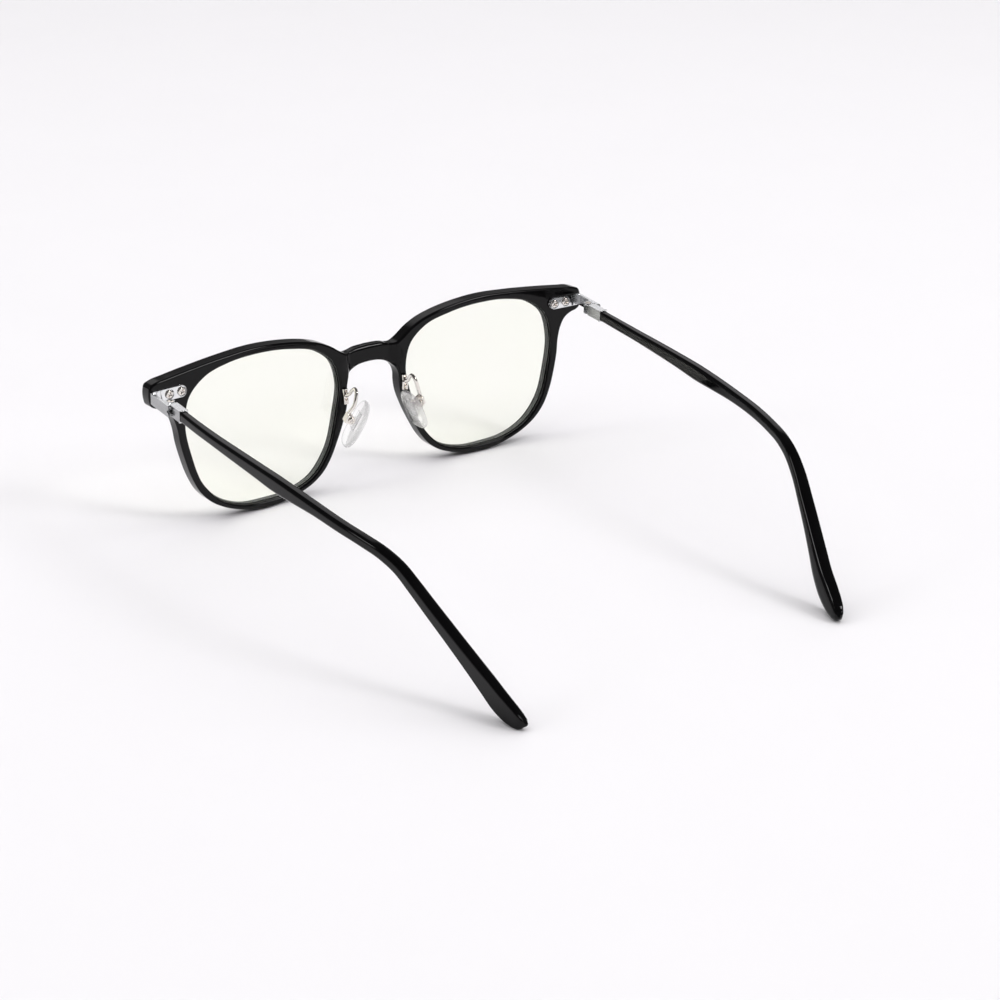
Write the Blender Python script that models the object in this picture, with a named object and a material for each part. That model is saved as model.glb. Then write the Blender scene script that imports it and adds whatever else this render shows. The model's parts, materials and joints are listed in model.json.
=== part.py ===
"""Blue light glasses: a black plastic front with metal end pieces, hinged temples and nose pads.

The glasses stand open on a floor at z = 0, on the bottoms of both rims and the two temple tips.
+X points to the wearer's left, -Y out of the front of the glasses, and +Z up.
The origin is on the floor, in the middle of the bounding box's width and length.
Lengths below are in millimetres; meshes are scaled to metres as they are made.
"""

from math import atan2, cos, hypot, pi, radians, sin

import bmesh
import bpy
from mathutils import Matrix, Vector

MM = 0.001

# ---- driving dimensions ------------------------------------------------------------------
SHIFT_BACK = -65.78             # moves the whole object so that the origin is under its middle

# front: a flat slab, u across, v up, w towards the wearer with w = 0 on its back face
FRONT_DEPTH = 4.5
FRONT_TILT = radians(4.12)      # the top leans away from the wearer
FACE_FORM = 0.00049             # w = FACE_FORM * u^2: the ends sit nearer the wearer
FOOT_U = 35.7                   # the rim's foot, which stands on the floor
BACK_EDGE = 0.4                 # rounding radius along the back edges
FRONT_EDGE = 0.8                # rounding radius along the front edges
BRIDGE_RECESS = 1.6             # the bridge's back face lies this deep
BRIDGE_FLAT = 6.6               # half width of the full recess
BRIDGE_END = 8.3                # half width where the recess has run out

# upper and outer outline of one half, from the bridge's top to the foot of the rim
HALF_TOP = [
    (0.0, 38.6), (4.0, 38.4), (7.6, 37.8), (9.9, 39.0), (12.6, 40.9), (16.3, 42.8), (21.0, 44.2),
    (28.0, 45.4), (36.7, 46.0), (46.0, 45.5), (56.0, 44.5), (64.0, 43.5), (67.4, 43.0),
    (69.2, 42.2), (69.65, 40.7), (69.6, 38.0), (69.3, 36.9), (68.4, 36.2), (66.4, 35.6),
    (64.4, 34.4), (62.9, 32.0), (61.9, 28.5), (61.4, 24.5), (60.3, 19.5), (58.7, 14.2),
    (56.2, 9.2), (53.0, 5.8), (49.0, 3.3), (44.0, 1.4), (40.0, 0.45), (37.2, 0.0),
]
# from the other end of the foot, up the nose side and along the underside of the bridge
HALF_UNDER = [
    (34.2, 0.0), (30.5, 0.35), (24.5, 1.8), (20.4, 3.6), (17.3, 6.0), (15.0, 9.0), (12.7, 13.3),
    (10.2, 18.9), (8.7, 23.6), (8.4, 26.4), (8.4, 28.8), (7.7, 30.7), (6.3, 32.2), (4.2, 33.2),
    (2.0, 33.6), (0.0, 33.7),
]
LENS_OPENING = [
    (36.7, 44.0), (25.5, 43.0), (17.6, 40.8), (12.8, 36.8), (10.9, 30.6), (12.4, 21.2),
    (16.0, 10.8), (20.9, 5.2), (28.6, 2.4), (36.2, 2.05), (43.9, 2.85), (50.8, 6.2), (55.1, 11.2),
    (58.2, 20.4), (59.4, 29.6), (57.6, 36.8), (52.6, 41.2), (45.0, 43.4),
]
PATH_TOLERANCE = 0.07

# lens and the groove that it sits in
GROOVE_W = -2.1
GROOVE_DEPTH = 0.9
GROOVE_HALF = 0.75
LENS_THICK = 1.9
LENS_BULGE = 1.3
LENS_EDGE_GAP = 0.18
LENS_BEVEL = 0.6
LENS_BEVEL_HALF = 0.5
LENS_RINGS = (0.4, 0.75, 1.0)   # how far out each ring of the dome lies

# hinge: a vertical barrel at each end, leaning back with the temple
HINGE_X = 67.2
HINGE_Y = 6.4
HINGE_Z = 39.25
HINGE_LEAN = radians(2.6)
HINGE_HALF_HEIGHT = 1.55
KNUCKLE_R = 1.15
KNUCKLE_THICK = 0.8
KNUCKLE_GAP = 0.1
KNUCKLE_LAP = 0.2               # how far a knuckle's web runs into its plate or sleeve
HINGE_BORE_R = 0.6
HINGE_PIN_R = 0.5
HINGE_HEAD_R = 0.95
HINGE_HEAD_THICK = 0.3
HINGE_SINK = 0.38
HINGE_CLEARANCE = 0.1

# end piece: a plate along the back face, bent round into an outer plate beside the hinge
PLATE_V = 39.4
PLATE_R = 1.6
PLATE_THICK = 0.7
PLATE_GAP = 0.1
PLATE_INNER_U = 60.4
PLATE_OUTER_U = 68.9
OUTER_PLATE_IN = 1.35           # from the hinge axis outwards
OUTER_PLATE_OUT = 2.2
OUTER_PLATE_REAR = 3.0
OUTER_PLATE_FRONT = -6.75
OUTER_PLATE_CORNER = 0.6
NOTCH_HALF = 0.35
NOTCH_DEPTH = 0.7
PLATE_SCREW_U = (60.4, 64.1)
PLATE_SCREW_HEAD_R = 1.25
PLATE_SCREW_HEAD = 0.45
PLATE_SCREW_R = 0.5
PLATE_SCREW_BORE = 0.65
PLATE_SCREW_LENGTH = 2.6
BORE_END_ROOM = 0.4             # a blind bore is this much deeper than its screw

# ferrule: the metal sleeve that joins the temple to its hinge
FERRULE_FRONT = 1.5
FERRULE_REAR = 7.3
FERRULE_X = (-1.15, 1.25)
FERRULE_HALF_HEIGHT = 1.55
SOCKET_DEPTH = 4.3
SOCKET_HALF_X = 0.9
SOCKET_HALF_Z = 1.2

# temple: stations along its middle line, (y, x, z, height, thickness)
TEMPLE = [
    (14.0, 67.25, 38.85, 2.80, 2.30), (20.0, 67.25, 38.50, 2.85, 2.45), (30.0, 67.1, 38.05, 2.90, 2.70),
    (40.0, 66.8, 37.60, 3.30, 2.80), (50.0, 66.4, 37.10, 3.75, 2.85), (58.0, 66.0, 36.60, 4.20, 2.90),
    (66.0, 65.5, 36.25, 3.80, 2.90), (75.0, 64.8, 35.80, 3.15, 2.90), (85.0, 63.8, 34.90, 2.95, 2.90),
    (93.0, 62.4, 33.90, 2.90, 2.95), (99.0, 61.1, 32.75, 3.00, 3.00), (104.0, 59.8, 30.70, 3.10, 3.05),
    (108.5, 58.5, 27.30, 3.30, 3.20), (113.5, 56.7, 22.60, 3.60, 3.35), (118.5, 54.8, 17.80, 4.10, 3.40),
    (123.5, 52.8, 12.80, 4.90, 3.40), (128.0, 51.0, 8.25, 5.90, 3.35), (131.8, 49.9, 4.95, 6.40, 3.25),
    (134.8, 49.1, 3.05, 5.70, 3.05), (137.0, 48.5, 2.07, 4.20, 2.75), (138.2, 48.15, 1.80, 2.60, 2.15),
    (138.69, 48.0, 1.7, 1.20, 1.30),
]
DROP_START = 96.0               # from here to DROP_END the section turns from a bar to a D
DROP_END = 112.0
DROP_ROUND_X = 0.52             # the D's inner corners, as shares of its thickness and height
DROP_ROUND_Z = 0.40
TENON_LENGTH = 4.0
TENON_HALF_X = 0.7
TENON_HALF_Z = 1.0
CORE_R = 0.4
CORE_BORE_R = 0.68
CORE_STATIONS = 9
TEMPLE_CORNER = 0.42            # corner size of the section, as a share of its smaller half
CORNER_STEP = 0.3               # how far the middle point of a corner lies in, as a share of it

# nose pads
PAD_CENTRE = Vector((9.5, 3.5, 19.9))
PAD_DOWN = Vector((0.422, -0.201, -0.884)).normalized()
PAD_TO_NOSE = Vector((-0.870, 0.140, -0.470))
PAD_LENGTH = 14.4
PAD_WIDTH = 8.6
PAD_THICK = 2.0
PAD_PIVOT_OUT = 2.3             # the pad screw lies this far behind the pad's middle plane
PAD_PIVOT_UP = 0.9
INSERT_LENGTH = 5.0
INSERT_WIDTH = 2.4
INSERT_THICK = 0.5
INSERT_GAP = 0.2
LUG_HALF_WIDTH = 0.5
LUG_R = 0.9
PAD_SCREW_R = 0.35
PAD_BORE_R = 0.45
PAD_SCREW_HEAD_R = 0.85
PAD_SCREW_HEAD = 0.4
CHEEK_IN = 0.65
CHEEK_OUT = 1.15
CHEEK_R = 1.2
BOX_BACK = 1.1                  # from the pad screw to the box's back wall
BOX_WALL = 0.45
MOUNT_U = 9.7
MOUNT_BLOCKS = ((27.7, 0.75), (25.3, 1.2))      # (middle v, half height) of each block
MOUNT_HALF_WIDTH = 0.7
MOUNT_THICK = 0.85
MOUNT_STRIP = 0.3
MOUNT_STRIP_HALF_WIDTH = 0.5
MOUNT_GAP = 0.1
MOUNT_PIN_R = 0.35
MOUNT_PIN_BORE = 0.5
MOUNT_PIN_LENGTH = 1.6
ARM_R = 0.42
ARM_ROUTE = [
    (9.7, -0.85, 26.9), (9.6, 0.6, 27.7), (9.4, 2.0, 29.3), (9.3, 3.1, 30.0), (9.45, 4.0, 29.4),
    (9.9, 4.45, 27.8), (10.5, 4.45, 25.8),
]

# ---- paths -----------------------------------------------------------------------------


def smooth_path(points, steps):
    """Points on a smooth curve through all the given points, with tangents by chord length."""
    points = [Vector(p) for p in points]
    chords = [(b - a).length for a, b in zip(points, points[1:])]
    slopes = [(b - a) / c for a, b, c in zip(points, points[1:], chords)]
    tangents = [slopes[0]]
    for i in range(1, len(slopes)):
        before, after = chords[i - 1], chords[i]
        tangents.append((slopes[i - 1] * after + slopes[i] * before) / (before + after))
    tangents.append(slopes[-1])
    path = []
    for i, chord in enumerate(chords):
        for step in range(steps):
            t = step / steps
            path.append(
                points[i] * (2 * t**3 - 3 * t**2 + 1)
                + tangents[i] * (chord * (t**3 - 2 * t**2 + t))
                + points[i + 1] * (3 * t**2 - 2 * t**3)
                + tangents[i + 1] * (chord * (t**3 - t**2))
            )
    path.append(points[-1])
    return path


def smooth_loop(points, steps):
    """A closed smooth curve: one lap of an open one that overlaps itself at both ends."""
    lap = points[-2:] + points + points[:3]
    path = smooth_path(lap, steps)
    return path[2 * steps:(2 + len(points)) * steps]


def thin_out(path, tolerance):
    """Drop the points that lie within the tolerance of the straight line past them."""
    if len(path) < 3:
        return path
    line = path[-1] - path[0]
    length = max(line.length, 1e-9)
    apart = [abs(line.x * (p - path[0]).y - line.y * (p - path[0]).x) / length for p in path]
    far = max(range(len(path)), key=apart.__getitem__)
    if apart[far] < tolerance:
        return [path[0], path[-1]]
    return thin_out(path[:far + 1], tolerance)[:-1] + thin_out(path[far:], tolerance)


def offset_loop(loop, distance):
    """Move a counter-clockwise loop inwards by a distance; a negative one moves it outwards."""
    moved = []
    for i, point in enumerate(loop):
        before = (point - loop[i - 1]).normalized()
        after = (loop[(i + 1) % len(loop)] - point).normalized()
        normal = Vector((-before.y - after.y, before.x + after.x)).normalized()
        spread = max(0.5, normal.dot(Vector((-after.y, after.x))))
        moved.append(point + normal * (distance / spread))
    return moved


def front_outline():
    """The front's whole outline, counter-clockwise in u and v."""
    top = thin_out(smooth_path(HALF_TOP, 6), PATH_TOLERANCE)
    under = thin_out(smooth_path(HALF_UNDER, 6), PATH_TOLERANCE)
    half = top + under
    other = [Vector((-p.x, p.y)) for p in reversed(half)]
    loop = half + other[1:-1]
    loop.reverse()
    return loop


def lens_opening():
    """The lens opening of the wearer's left side, counter-clockwise."""
    loop = smooth_loop([Vector(p) for p in LENS_OPENING], 6)
    half = len(loop) // 2
    first = thin_out(loop[:half + 1], PATH_TOLERANCE)
    second = thin_out(loop[half:] + loop[:1], PATH_TOLERANCE)
    return first[:-1] + second[:-1]


def mirrored(loop):
    return [Vector((-p.x, p.y)) for p in reversed(loop)]


# ---- places ----------------------------------------------------------------------------


def front_point(u, v, w):
    """From the flat front's (u, v, w) to the object's frame."""
    lift = (FRONT_DEPTH - FRONT_EDGE - FACE_FORM * FOOT_U**2) * sin(FRONT_TILT)
    bent = w + FACE_FORM * u * u
    y = bent * cos(FRONT_TILT) - v * sin(FRONT_TILT)
    z = bent * sin(FRONT_TILT) + v * cos(FRONT_TILT) + lift
    return Vector((u, y, z))


def back_face_frame(u, v):
    """A frame on the front's back face: x across, y up, z towards the wearer."""
    across = (front_point(u + 0.5, v, 0) - front_point(u - 0.5, v, 0)).normalized()
    up = (front_point(u, v + 0.5, 0) - front_point(u, v - 0.5, 0)).normalized()
    out = -across.cross(up)
    return Matrix.Translation(front_point(u, v, 0)) @ Matrix((across, up, out)).transposed().to_4x4()


def hinge_frame():
    """A frame on the left hinge: z along the barrel, y along the open temple."""
    return Matrix.Translation((HINGE_X, HINGE_Y, HINGE_Z)) @ Matrix.Rotation(-HINGE_LEAN, 4, "X")


def pad_frame():
    """A frame on the left pad screw: x from the pad towards the arm, y along the screw, z up."""
    out = -(PAD_TO_NOSE - PAD_DOWN * PAD_TO_NOSE.dot(PAD_DOWN)).normalized()
    up = -PAD_DOWN
    along = up.cross(out)
    place = PAD_CENTRE + out * PAD_PIVOT_OUT + up * PAD_PIVOT_UP
    return Matrix.Translation(place) @ Matrix((out, along, up)).transposed().to_4x4()


# ---- solids ----------------------------------------------------------------------------


def add_ring(bm, points):
    return [bm.verts.new(p) for p in points]


def join_rings(bm, first, second):
    count = len(first)
    for i in range(count):
        j = (i + 1) % count
        bm.faces.new((first[i], first[j], second[j], second[i]))


def loft(bm, rings):
    """Skin a row of rings and close both ends."""
    rows = [add_ring(bm, ring) for ring in rings]
    for first, second in zip(rows, rows[1:]):
        join_rings(bm, first, second)
    bm.faces.new(reversed(rows[0]))
    bm.faces.new(rows[-1])


def prism(outline, low, high, frame=None):
    """A straight prism over an (x, y) outline, from z = low to z = high."""
    bm = bmesh.new()
    loft(bm, [[(x, y, z) for x, y in outline] for z in (low, high)])
    if frame:
        bm.transform(frame)
    return bm


def box(x_range, y_range, z_range, frame=None):
    x0, x1 = x_range
    y0, y1 = y_range
    return prism([(x0, y0), (x1, y0), (x1, y1), (x0, y1)], *z_range, frame)


def circle(radius, sides, centre=(0, 0)):
    turn = 2 * pi / sides
    return [(centre[0] + radius * cos(i * turn), centre[1] + radius * sin(i * turn)) for i in range(sides)]


def fan(start, end, steps):
    return [start + (end - start) * i / steps for i in range(steps + 1)]


def tube(route, radius, sides):
    """A round wire along a route, with flat ends."""
    bm = bmesh.new()
    rings = []
    side = Vector((1, 0, 0))
    for i, point in enumerate(route):
        ahead = (route[min(i + 1, len(route) - 1)] - route[max(i - 1, 0)]).normalized()
        side = (side - ahead * side.dot(ahead)).normalized()
        up = ahead.cross(side)
        rings.append([point + side * x + up * y for x, y in circle(radius, sides)])
    loft(bm, rings)
    return bm


def as_mesh(bm, side):
    """Finish a left-hand solid as a mesh in metres; side = -1 mirrors it to the right."""
    bmesh.ops.recalc_face_normals(bm, faces=bm.faces)
    bm.transform(Matrix.Diagonal((side * MM, MM, MM, 1)))
    if side < 0:
        bmesh.ops.reverse_faces(bm, faces=bm.faces)
    mesh = bpy.data.meshes.new("solid")
    bm.to_mesh(mesh)
    bm.free()
    return mesh


def combine(body, tool, operation):
    """Add or cut a tool solid to or from a body solid, both in millimetres."""
    objects = []
    for bm in (body, tool):
        objects.append(bpy.data.objects.new("solid", as_mesh(bm, 1)))
        bpy.context.collection.objects.link(objects[-1])
    modifier = objects[0].modifiers.new("combine", "BOOLEAN")
    modifier.operation = operation
    modifier.solver = "EXACT"
    modifier.object = objects[1]
    bpy.context.view_layer.update()
    evaluated = objects[0].evaluated_get(bpy.context.evaluated_depsgraph_get())
    result = bmesh.new()
    result.from_mesh(evaluated.to_mesh())
    result.transform(Matrix.Diagonal((1 / MM, 1 / MM, 1 / MM, 1)))
    for obj in objects:
        mesh = obj.data
        bpy.data.objects.remove(obj)
        bpy.data.meshes.remove(mesh)
    return result


def joined(bodies):
    result = bodies[0]
    for body in bodies[1:]:
        result = combine(result, body, "UNION")
    return result


def cut(body, tools):
    for tool in tools:
        body = combine(body, tool, "DIFFERENCE")
    return body


def place(name, bm, material, side=1, origin=None, sharp=35):
    """Link a finished solid. An origin, in millimetres, becomes the object's own origin."""
    shift = Vector(origin) if origin else Vector((0, 0, 0))
    bm.transform(Matrix.Translation(-shift))
    mesh = as_mesh(bm, side)
    mesh.materials.append(material)
    mesh.shade_smooth()
    mesh.set_sharp_from_angle(angle=radians(sharp))
    mesh.name = name
    obj = bpy.data.objects.new(name, mesh)
    obj.location = (side * shift.x * MM, (shift.y + SHIFT_BACK) * MM, shift.z * MM)
    bpy.context.collection.objects.link(obj)
    return obj


# ---- materials -------------------------------------------------------------------------


def material(name, colour, roughness, metallic=0.0, transmission=0.0, alpha=1.0):
    made = bpy.data.materials.new(name)
    made.use_nodes = True
    shader = made.node_tree.nodes["Principled BSDF"]
    shader.inputs["Base Color"].default_value = (*colour, 1)
    shader.inputs["Roughness"].default_value = roughness
    shader.inputs["Metallic"].default_value = metallic
    shader.inputs["Transmission Weight"].default_value = transmission
    shader.inputs["Alpha"].default_value = alpha
    made.diffuse_color = (*colour, alpha)
    return made


# ---- the front -------------------------------------------------------------------------


def rounded_edge(radius, w_face, inwards):
    """Three (inset, w) steps from a flat face round to the wall; inwards is the way into the slab."""
    return [(radius * (1 - sin(a)), w_face + inwards * radius * (1 - cos(a))) for a in fan(0, pi / 2, 2)]


def front_frame_solid():
    """The slab with two lens openings, each with a groove for its lens, bent and tilted."""
    front_w = -FRONT_DEPTH
    back_steps = rounded_edge(BACK_EDGE, 0, -1)
    front_steps = rounded_edge(FRONT_EDGE, front_w, 1)[::-1]
    groove = [
        (0, GROOVE_W + GROOVE_HALF),
        (GROOVE_DEPTH, GROOVE_W),
        (0, GROOVE_W - GROOVE_HALF),
    ]
    bm = bmesh.new()
    back_rings = []
    front_rings = []
    walls = [(front_outline(), 1, back_steps + front_steps)]
    for opening in (lens_opening(), mirrored(lens_opening())):
        walls.append((opening, -1, back_steps + groove + front_steps))
    for loop, inwards, profile in walls:
        rows = []
        for inset, w in profile:
            rows.append(add_ring(bm, [(p.x, p.y, w) for p in offset_loop(loop, inwards * inset)]))
        for first, second in zip(rows, rows[1:]):
            join_rings(bm, first, second)
        back_rings.append(rows[0])
        front_rings.append(rows[-1])
    for rings in (back_rings, front_rings):
        edges = [bm.edges.get((ring[i - 1], ring[i])) for ring in rings for i in range(len(ring))]
        bmesh.ops.triangle_fill(bm, use_beauty=True, edges=edges)
    for vert in bm.verts:
        u, v, w = vert.co
        run_out = min(1, max(0, (abs(u) - BRIDGE_FLAT) / (BRIDGE_END - BRIDGE_FLAT)))
        recess = BRIDGE_RECESS * (1 - run_out * run_out * (3 - 2 * run_out))
        vert.co = front_point(u, v, w - recess * (1 + w / FRONT_DEPTH))
    return bm


def screw_bores():
    """Cutters for the bores that hold the end-piece screws and the nose-pad mounts."""
    cutters = []
    for side in (1, -1):
        mirror = Matrix.Diagonal((side, 1, 1, 1))
        for u in PLATE_SCREW_U:
            depth = PLATE_SCREW_LENGTH + BORE_END_ROOM
            at = mirror @ back_face_frame(u, PLATE_V)
            cutters.append(prism(circle(PLATE_SCREW_BORE, 12), -depth, 2, at))
        for v, _half in MOUNT_BLOCKS:
            depth = MOUNT_PIN_LENGTH + BORE_END_ROOM
            at = mirror @ back_face_frame(MOUNT_U, v)
            cutters.append(prism(circle(MOUNT_PIN_BORE, 8), -depth, 1, at))
    return cutters


def make_front(black):
    body = front_frame_solid()
    bmesh.ops.recalc_face_normals(body, faces=body.faces)
    place("front_frame", cut(body, screw_bores()), black)


def make_lens(side, name, glass):
    """A domed lens with a bevelled edge that sits in the groove."""
    opening = lens_opening()
    middle = sum(opening, Vector((0, 0))) / len(opening)
    rim = offset_loop(opening, LENS_EDGE_GAP)
    bevel = offset_loop(opening, -LENS_BEVEL)
    half = LENS_THICK / 2

    def dome(share, offset):
        w = GROOVE_W - LENS_BULGE * (1 - share * share) + offset
        return [front_point(*(middle + (p - middle) * share), w) for p in rim]

    rings = [dome(share, half) for share in LENS_RINGS]
    rings.append([front_point(p.x, p.y, GROOVE_W + LENS_BEVEL_HALF) for p in rim])
    rings.append([front_point(p.x, p.y, GROOVE_W) for p in bevel])
    rings.append([front_point(p.x, p.y, GROOVE_W - LENS_BEVEL_HALF) for p in rim])
    rings += [dome(share, -half) for share in reversed(LENS_RINGS)]
    bm = bmesh.new()
    loft(bm, rings)
    place(name, bm, glass, side)


# ---- end pieces and hinges -------------------------------------------------------------


def end_piece_solid():
    """Back plate, outer plate and the two outer knuckles of the hinge, in one piece."""
    hinge = hinge_frame()
    plate_frame = back_face_frame(PLATE_INNER_U, PLATE_V)
    reach = PLATE_OUTER_U - PLATE_INNER_U
    outline = [(reach, -PLATE_R + 0.05), (reach, PLATE_R - 0.05)] + [
        (PLATE_R * cos(a), PLATE_R * sin(a)) for a in fan(pi / 2, 3 * pi / 2, 8)
    ]
    plate = prism(outline, PLATE_GAP, PLATE_GAP + PLATE_THICK, plate_frame)
    height = HINGE_HALF_HEIGHT
    outer = prism(
        outer_plate_outline(), OUTER_PLATE_IN, OUTER_PLATE_OUT,
        hinge @ Matrix(((0, 0, 1), (1, 0, 0), (0, 1, 0))).to_4x4(),
    )
    solids = [outer, plate]
    for low in (-height, height - KNUCKLE_THICK):
        outline = knuckle_outline((OUTER_PLATE_IN + KNUCKLE_LAP, 0))
        solids.append(prism(outline, low, low + KNUCKLE_THICK, hinge))
    body = joined(solids)
    tools = [prism(circle(HINGE_BORE_R, 12), -3, 3, hinge)]
    tools.append(prism(circle(HINGE_HEAD_R + HINGE_CLEARANCE, 16), height - HINGE_SINK, 3, hinge))
    for u in PLATE_SCREW_U:
        tools.append(prism(circle(PLATE_SCREW_BORE, 12), -1, 2, back_face_frame(u, PLATE_V)))
    return cut(body, tools)


def outer_plate_outline():
    """The outer plate from the side, (y, z): rounded rear corners with a notch between them."""
    height = HINGE_HALF_HEIGHT
    corner = OUTER_PLATE_CORNER
    rear = OUTER_PLATE_REAR
    lower = [(rear - corner + corner * sin(a), -height + corner - corner * cos(a)) for a in fan(0, pi / 2, 3)]
    notch = [
        (rear, -NOTCH_HALF), (rear - NOTCH_DEPTH, -NOTCH_HALF),
        (rear - NOTCH_DEPTH, NOTCH_HALF), (rear, NOTCH_HALF),
    ]
    upper = [(y, -z) for y, z in reversed(lower)]
    return [(OUTER_PLATE_FRONT, -height)] + lower + notch + upper + [(OUTER_PLATE_FRONT, height)]


def knuckle_outline(reach):
    """A knuckle's outline: round about the hinge axis, with a web running to the reach point."""
    x, y = reach
    away = atan2(y, x)
    round_part = [(KNUCKLE_R * cos(a), KNUCKLE_R * sin(a)) for a in fan(away + pi / 2, away + 3 * pi / 2, 10)]
    length = hypot(x, y)
    across = KNUCKLE_R
    square = [
        (length * cos(away) + across * sin(away), length * sin(away) - across * cos(away)),
        (length * cos(away) - across * sin(away), length * sin(away) + across * cos(away)),
    ]
    return round_part + square


def ferrule_solid():
    """The temple's hinge: the middle knuckle and a sleeve that holds the temple's end."""
    hinge = hinge_frame()
    height = FERRULE_HALF_HEIGHT
    sleeve = box(FERRULE_X, (FERRULE_FRONT, FERRULE_REAR), (-height, height), hinge)
    middle_half = HINGE_HALF_HEIGHT - KNUCKLE_THICK - KNUCKLE_GAP
    knuckle = prism(knuckle_outline((0, FERRULE_FRONT + KNUCKLE_LAP)), -middle_half, middle_half, hinge)
    centre = (FERRULE_X[0] + FERRULE_X[1]) / 2
    socket = box(
        (centre - SOCKET_HALF_X, centre + SOCKET_HALF_X), (FERRULE_REAR - SOCKET_DEPTH, FERRULE_REAR + 1),
        (-SOCKET_HALF_Z, SOCKET_HALF_Z), hinge,
    )
    bore = prism(circle(HINGE_BORE_R, 12), -3, 3, hinge)
    return cut(joined([sleeve, knuckle]), [socket, bore])


def turned(profile, sides, frame):
    """A solid of revolution from (radius, z) pairs, closed by flat ends."""
    bm = bmesh.new()
    loft(bm, [[(x, y, z) for x, y in circle(radius, sides)] for radius, z in profile])
    bm.transform(frame)
    return bm


def make_end(side, name, bright, satin):
    """One end piece with its two screws, and the hinge screw."""
    place("end_piece_" + name, end_piece_solid(), satin, side)
    seat = PLATE_GAP + PLATE_THICK + PLATE_GAP
    head = PLATE_SCREW_HEAD
    profile = [
        (PLATE_SCREW_R, -PLATE_SCREW_LENGTH), (PLATE_SCREW_R, seat), (PLATE_SCREW_HEAD_R, seat),
        (PLATE_SCREW_HEAD_R, seat + head * 0.5), (PLATE_SCREW_HEAD_R * 0.75, seat + head),
    ]
    for label, u in zip(("inner", "outer"), PLATE_SCREW_U):
        screw = turned(profile, 16, back_face_frame(u, PLATE_V))
        place(f"plate_screw_{label}_{name}", screw, bright, side)
    top = HINGE_HALF_HEIGHT - HINGE_SINK + 0.08
    profile = [
        (HINGE_PIN_R, -HINGE_HALF_HEIGHT), (HINGE_PIN_R, top), (HINGE_HEAD_R, top),
        (HINGE_HEAD_R, top + HINGE_HEAD_THICK),
    ]
    place("hinge_screw_" + name, turned(profile, 16, hinge_frame()), bright, side)


# ---- temples ---------------------------------------------------------------------------


def rounded_section(half_x, half_z, drop=0.0):
    """A rounded bar, (x, z); as drop goes to 1 its inner corners, at -x, grow into a D's."""
    corner = TEMPLE_CORNER * min(half_x, half_z)
    inner_x = corner + drop * (DROP_ROUND_X * 2 * half_x - corner)
    inner_z = corner + drop * (DROP_ROUND_Z * 2 * half_z - corner)
    outer = [
        (half_x, half_z - corner),
        (half_x - corner * CORNER_STEP, half_z - corner * CORNER_STEP),
        (half_x - corner, half_z),
    ]
    inner = [
        (inner_x - half_x, half_z),
        (inner_x * CORNER_STEP - half_x, half_z - inner_z * CORNER_STEP),
        (-half_x, half_z - inner_z),
    ]
    top = outer + inner
    return top + [(x, -z) for x, z in reversed(top)]


def drop_share(y):
    """0 along the straight part of the temple, 1 past the ear bend."""
    share = min(1, max(0, (y - DROP_START) / (DROP_END - DROP_START)))
    return share * share * (3 - 2 * share)


def temple_stations():
    """Middle points, heights and thicknesses along the temple, down to the paddle's rounded end."""
    middle = smooth_path([(x, y, z) for y, x, z, _height, _thick in TEMPLE], 2)
    sizes = smooth_path([(y, height, thick) for y, _x, _z, height, thick in TEMPLE], 2)
    return [(point, size.y, size.z) for point, size in zip(middle, sizes)]


def station_frame(stations, i):
    """Up and across directions of a temple section, square to the middle line."""
    before = stations[max(i - 1, 0)][0]
    after = stations[min(i + 1, len(stations) - 1)][0]
    ahead = (after - before).normalized()
    across = Vector((1, 0, 0))
    across = (across - ahead * across.dot(ahead)).normalized()
    return across, across.cross(ahead)


def temple_solid():
    """The temple with its tenon, and a blind bore for the core wire from the tenon's end."""
    stations = temple_stations()
    bm = bmesh.new()
    start, first_height, first_thick = stations[0]
    across, up = station_frame(stations, 0)
    ahead = up.cross(across)
    tenon = [
        [start - ahead * back + across * x + up * z for x, z in rounded_section(TENON_HALF_X, TENON_HALF_Z)]
        for back in (TENON_LENGTH, 0)
    ]
    body = []
    for i, (point, height, thick) in enumerate(stations):
        across, up = station_frame(stations, i)
        section = rounded_section(thick / 2, height / 2, drop_share(point.y))
        body.append([point + across * x + up * z for x, z in section])
    rows = [add_ring(bm, ring) for ring in tenon + body]
    for first, second in zip(rows, rows[1:]):
        join_rings(bm, first, second)
    bm.faces.new(reversed(rows[0]))
    bm.faces.new(rows[-1])
    bmesh.ops.recalc_face_normals(bm, faces=bm.faces)
    return cut(bm, [tube(core_route(stations, 0.8), CORE_BORE_R, 8)])


def core_route(stations, overhang):
    """The core wire's middle line: from the tenon's end along the straight part."""
    points = [stations[2 * i][0] for i in range(CORE_STATIONS)]
    ahead = (points[1] - points[0]).normalized()
    front = points[0] - ahead * (TENON_LENGTH + overhang)
    tail = points[-1] + (points[-1] - points[-2]).normalized() * overhang
    return [front] + points + [tail]


def make_temple(side, name, black, satin, steel):
    """One temple: ferrule, black plastic temple and the steel core wire inside it."""
    axis = (HINGE_X, HINGE_Y, HINGE_Z)
    place("temple_hinge_" + name, ferrule_solid(), satin, side, axis)
    place("temple_" + name, temple_solid(), black, side, axis, 60)
    core = tube(core_route(temple_stations(), 0), CORE_R, 6)
    place("temple_core_" + name, core, steel, side, axis)


# ---- nose pads -------------------------------------------------------------------------


def pad_outline(grow):
    """The pad seen from behind, (y, z): straighter at the front, rounder towards the wearer."""
    points = []
    for i in range(20):
        a = 2 * pi * i / 20
        bulge = 0.5 if cos(a) > 0 else 0.5 - 0.08 * cos(a) ** 2
        wide = PAD_WIDTH * bulge * abs(cos(a)) ** 0.85 * (1 if cos(a) > 0 else -1)
        tall = PAD_LENGTH / 2 * abs(sin(a)) ** 0.9 * (1 if sin(a) > 0 else -1)
        length = hypot(wide, tall)
        scale = (length + grow) / length
        points.append((wide * scale, tall * scale))
    return points


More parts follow.
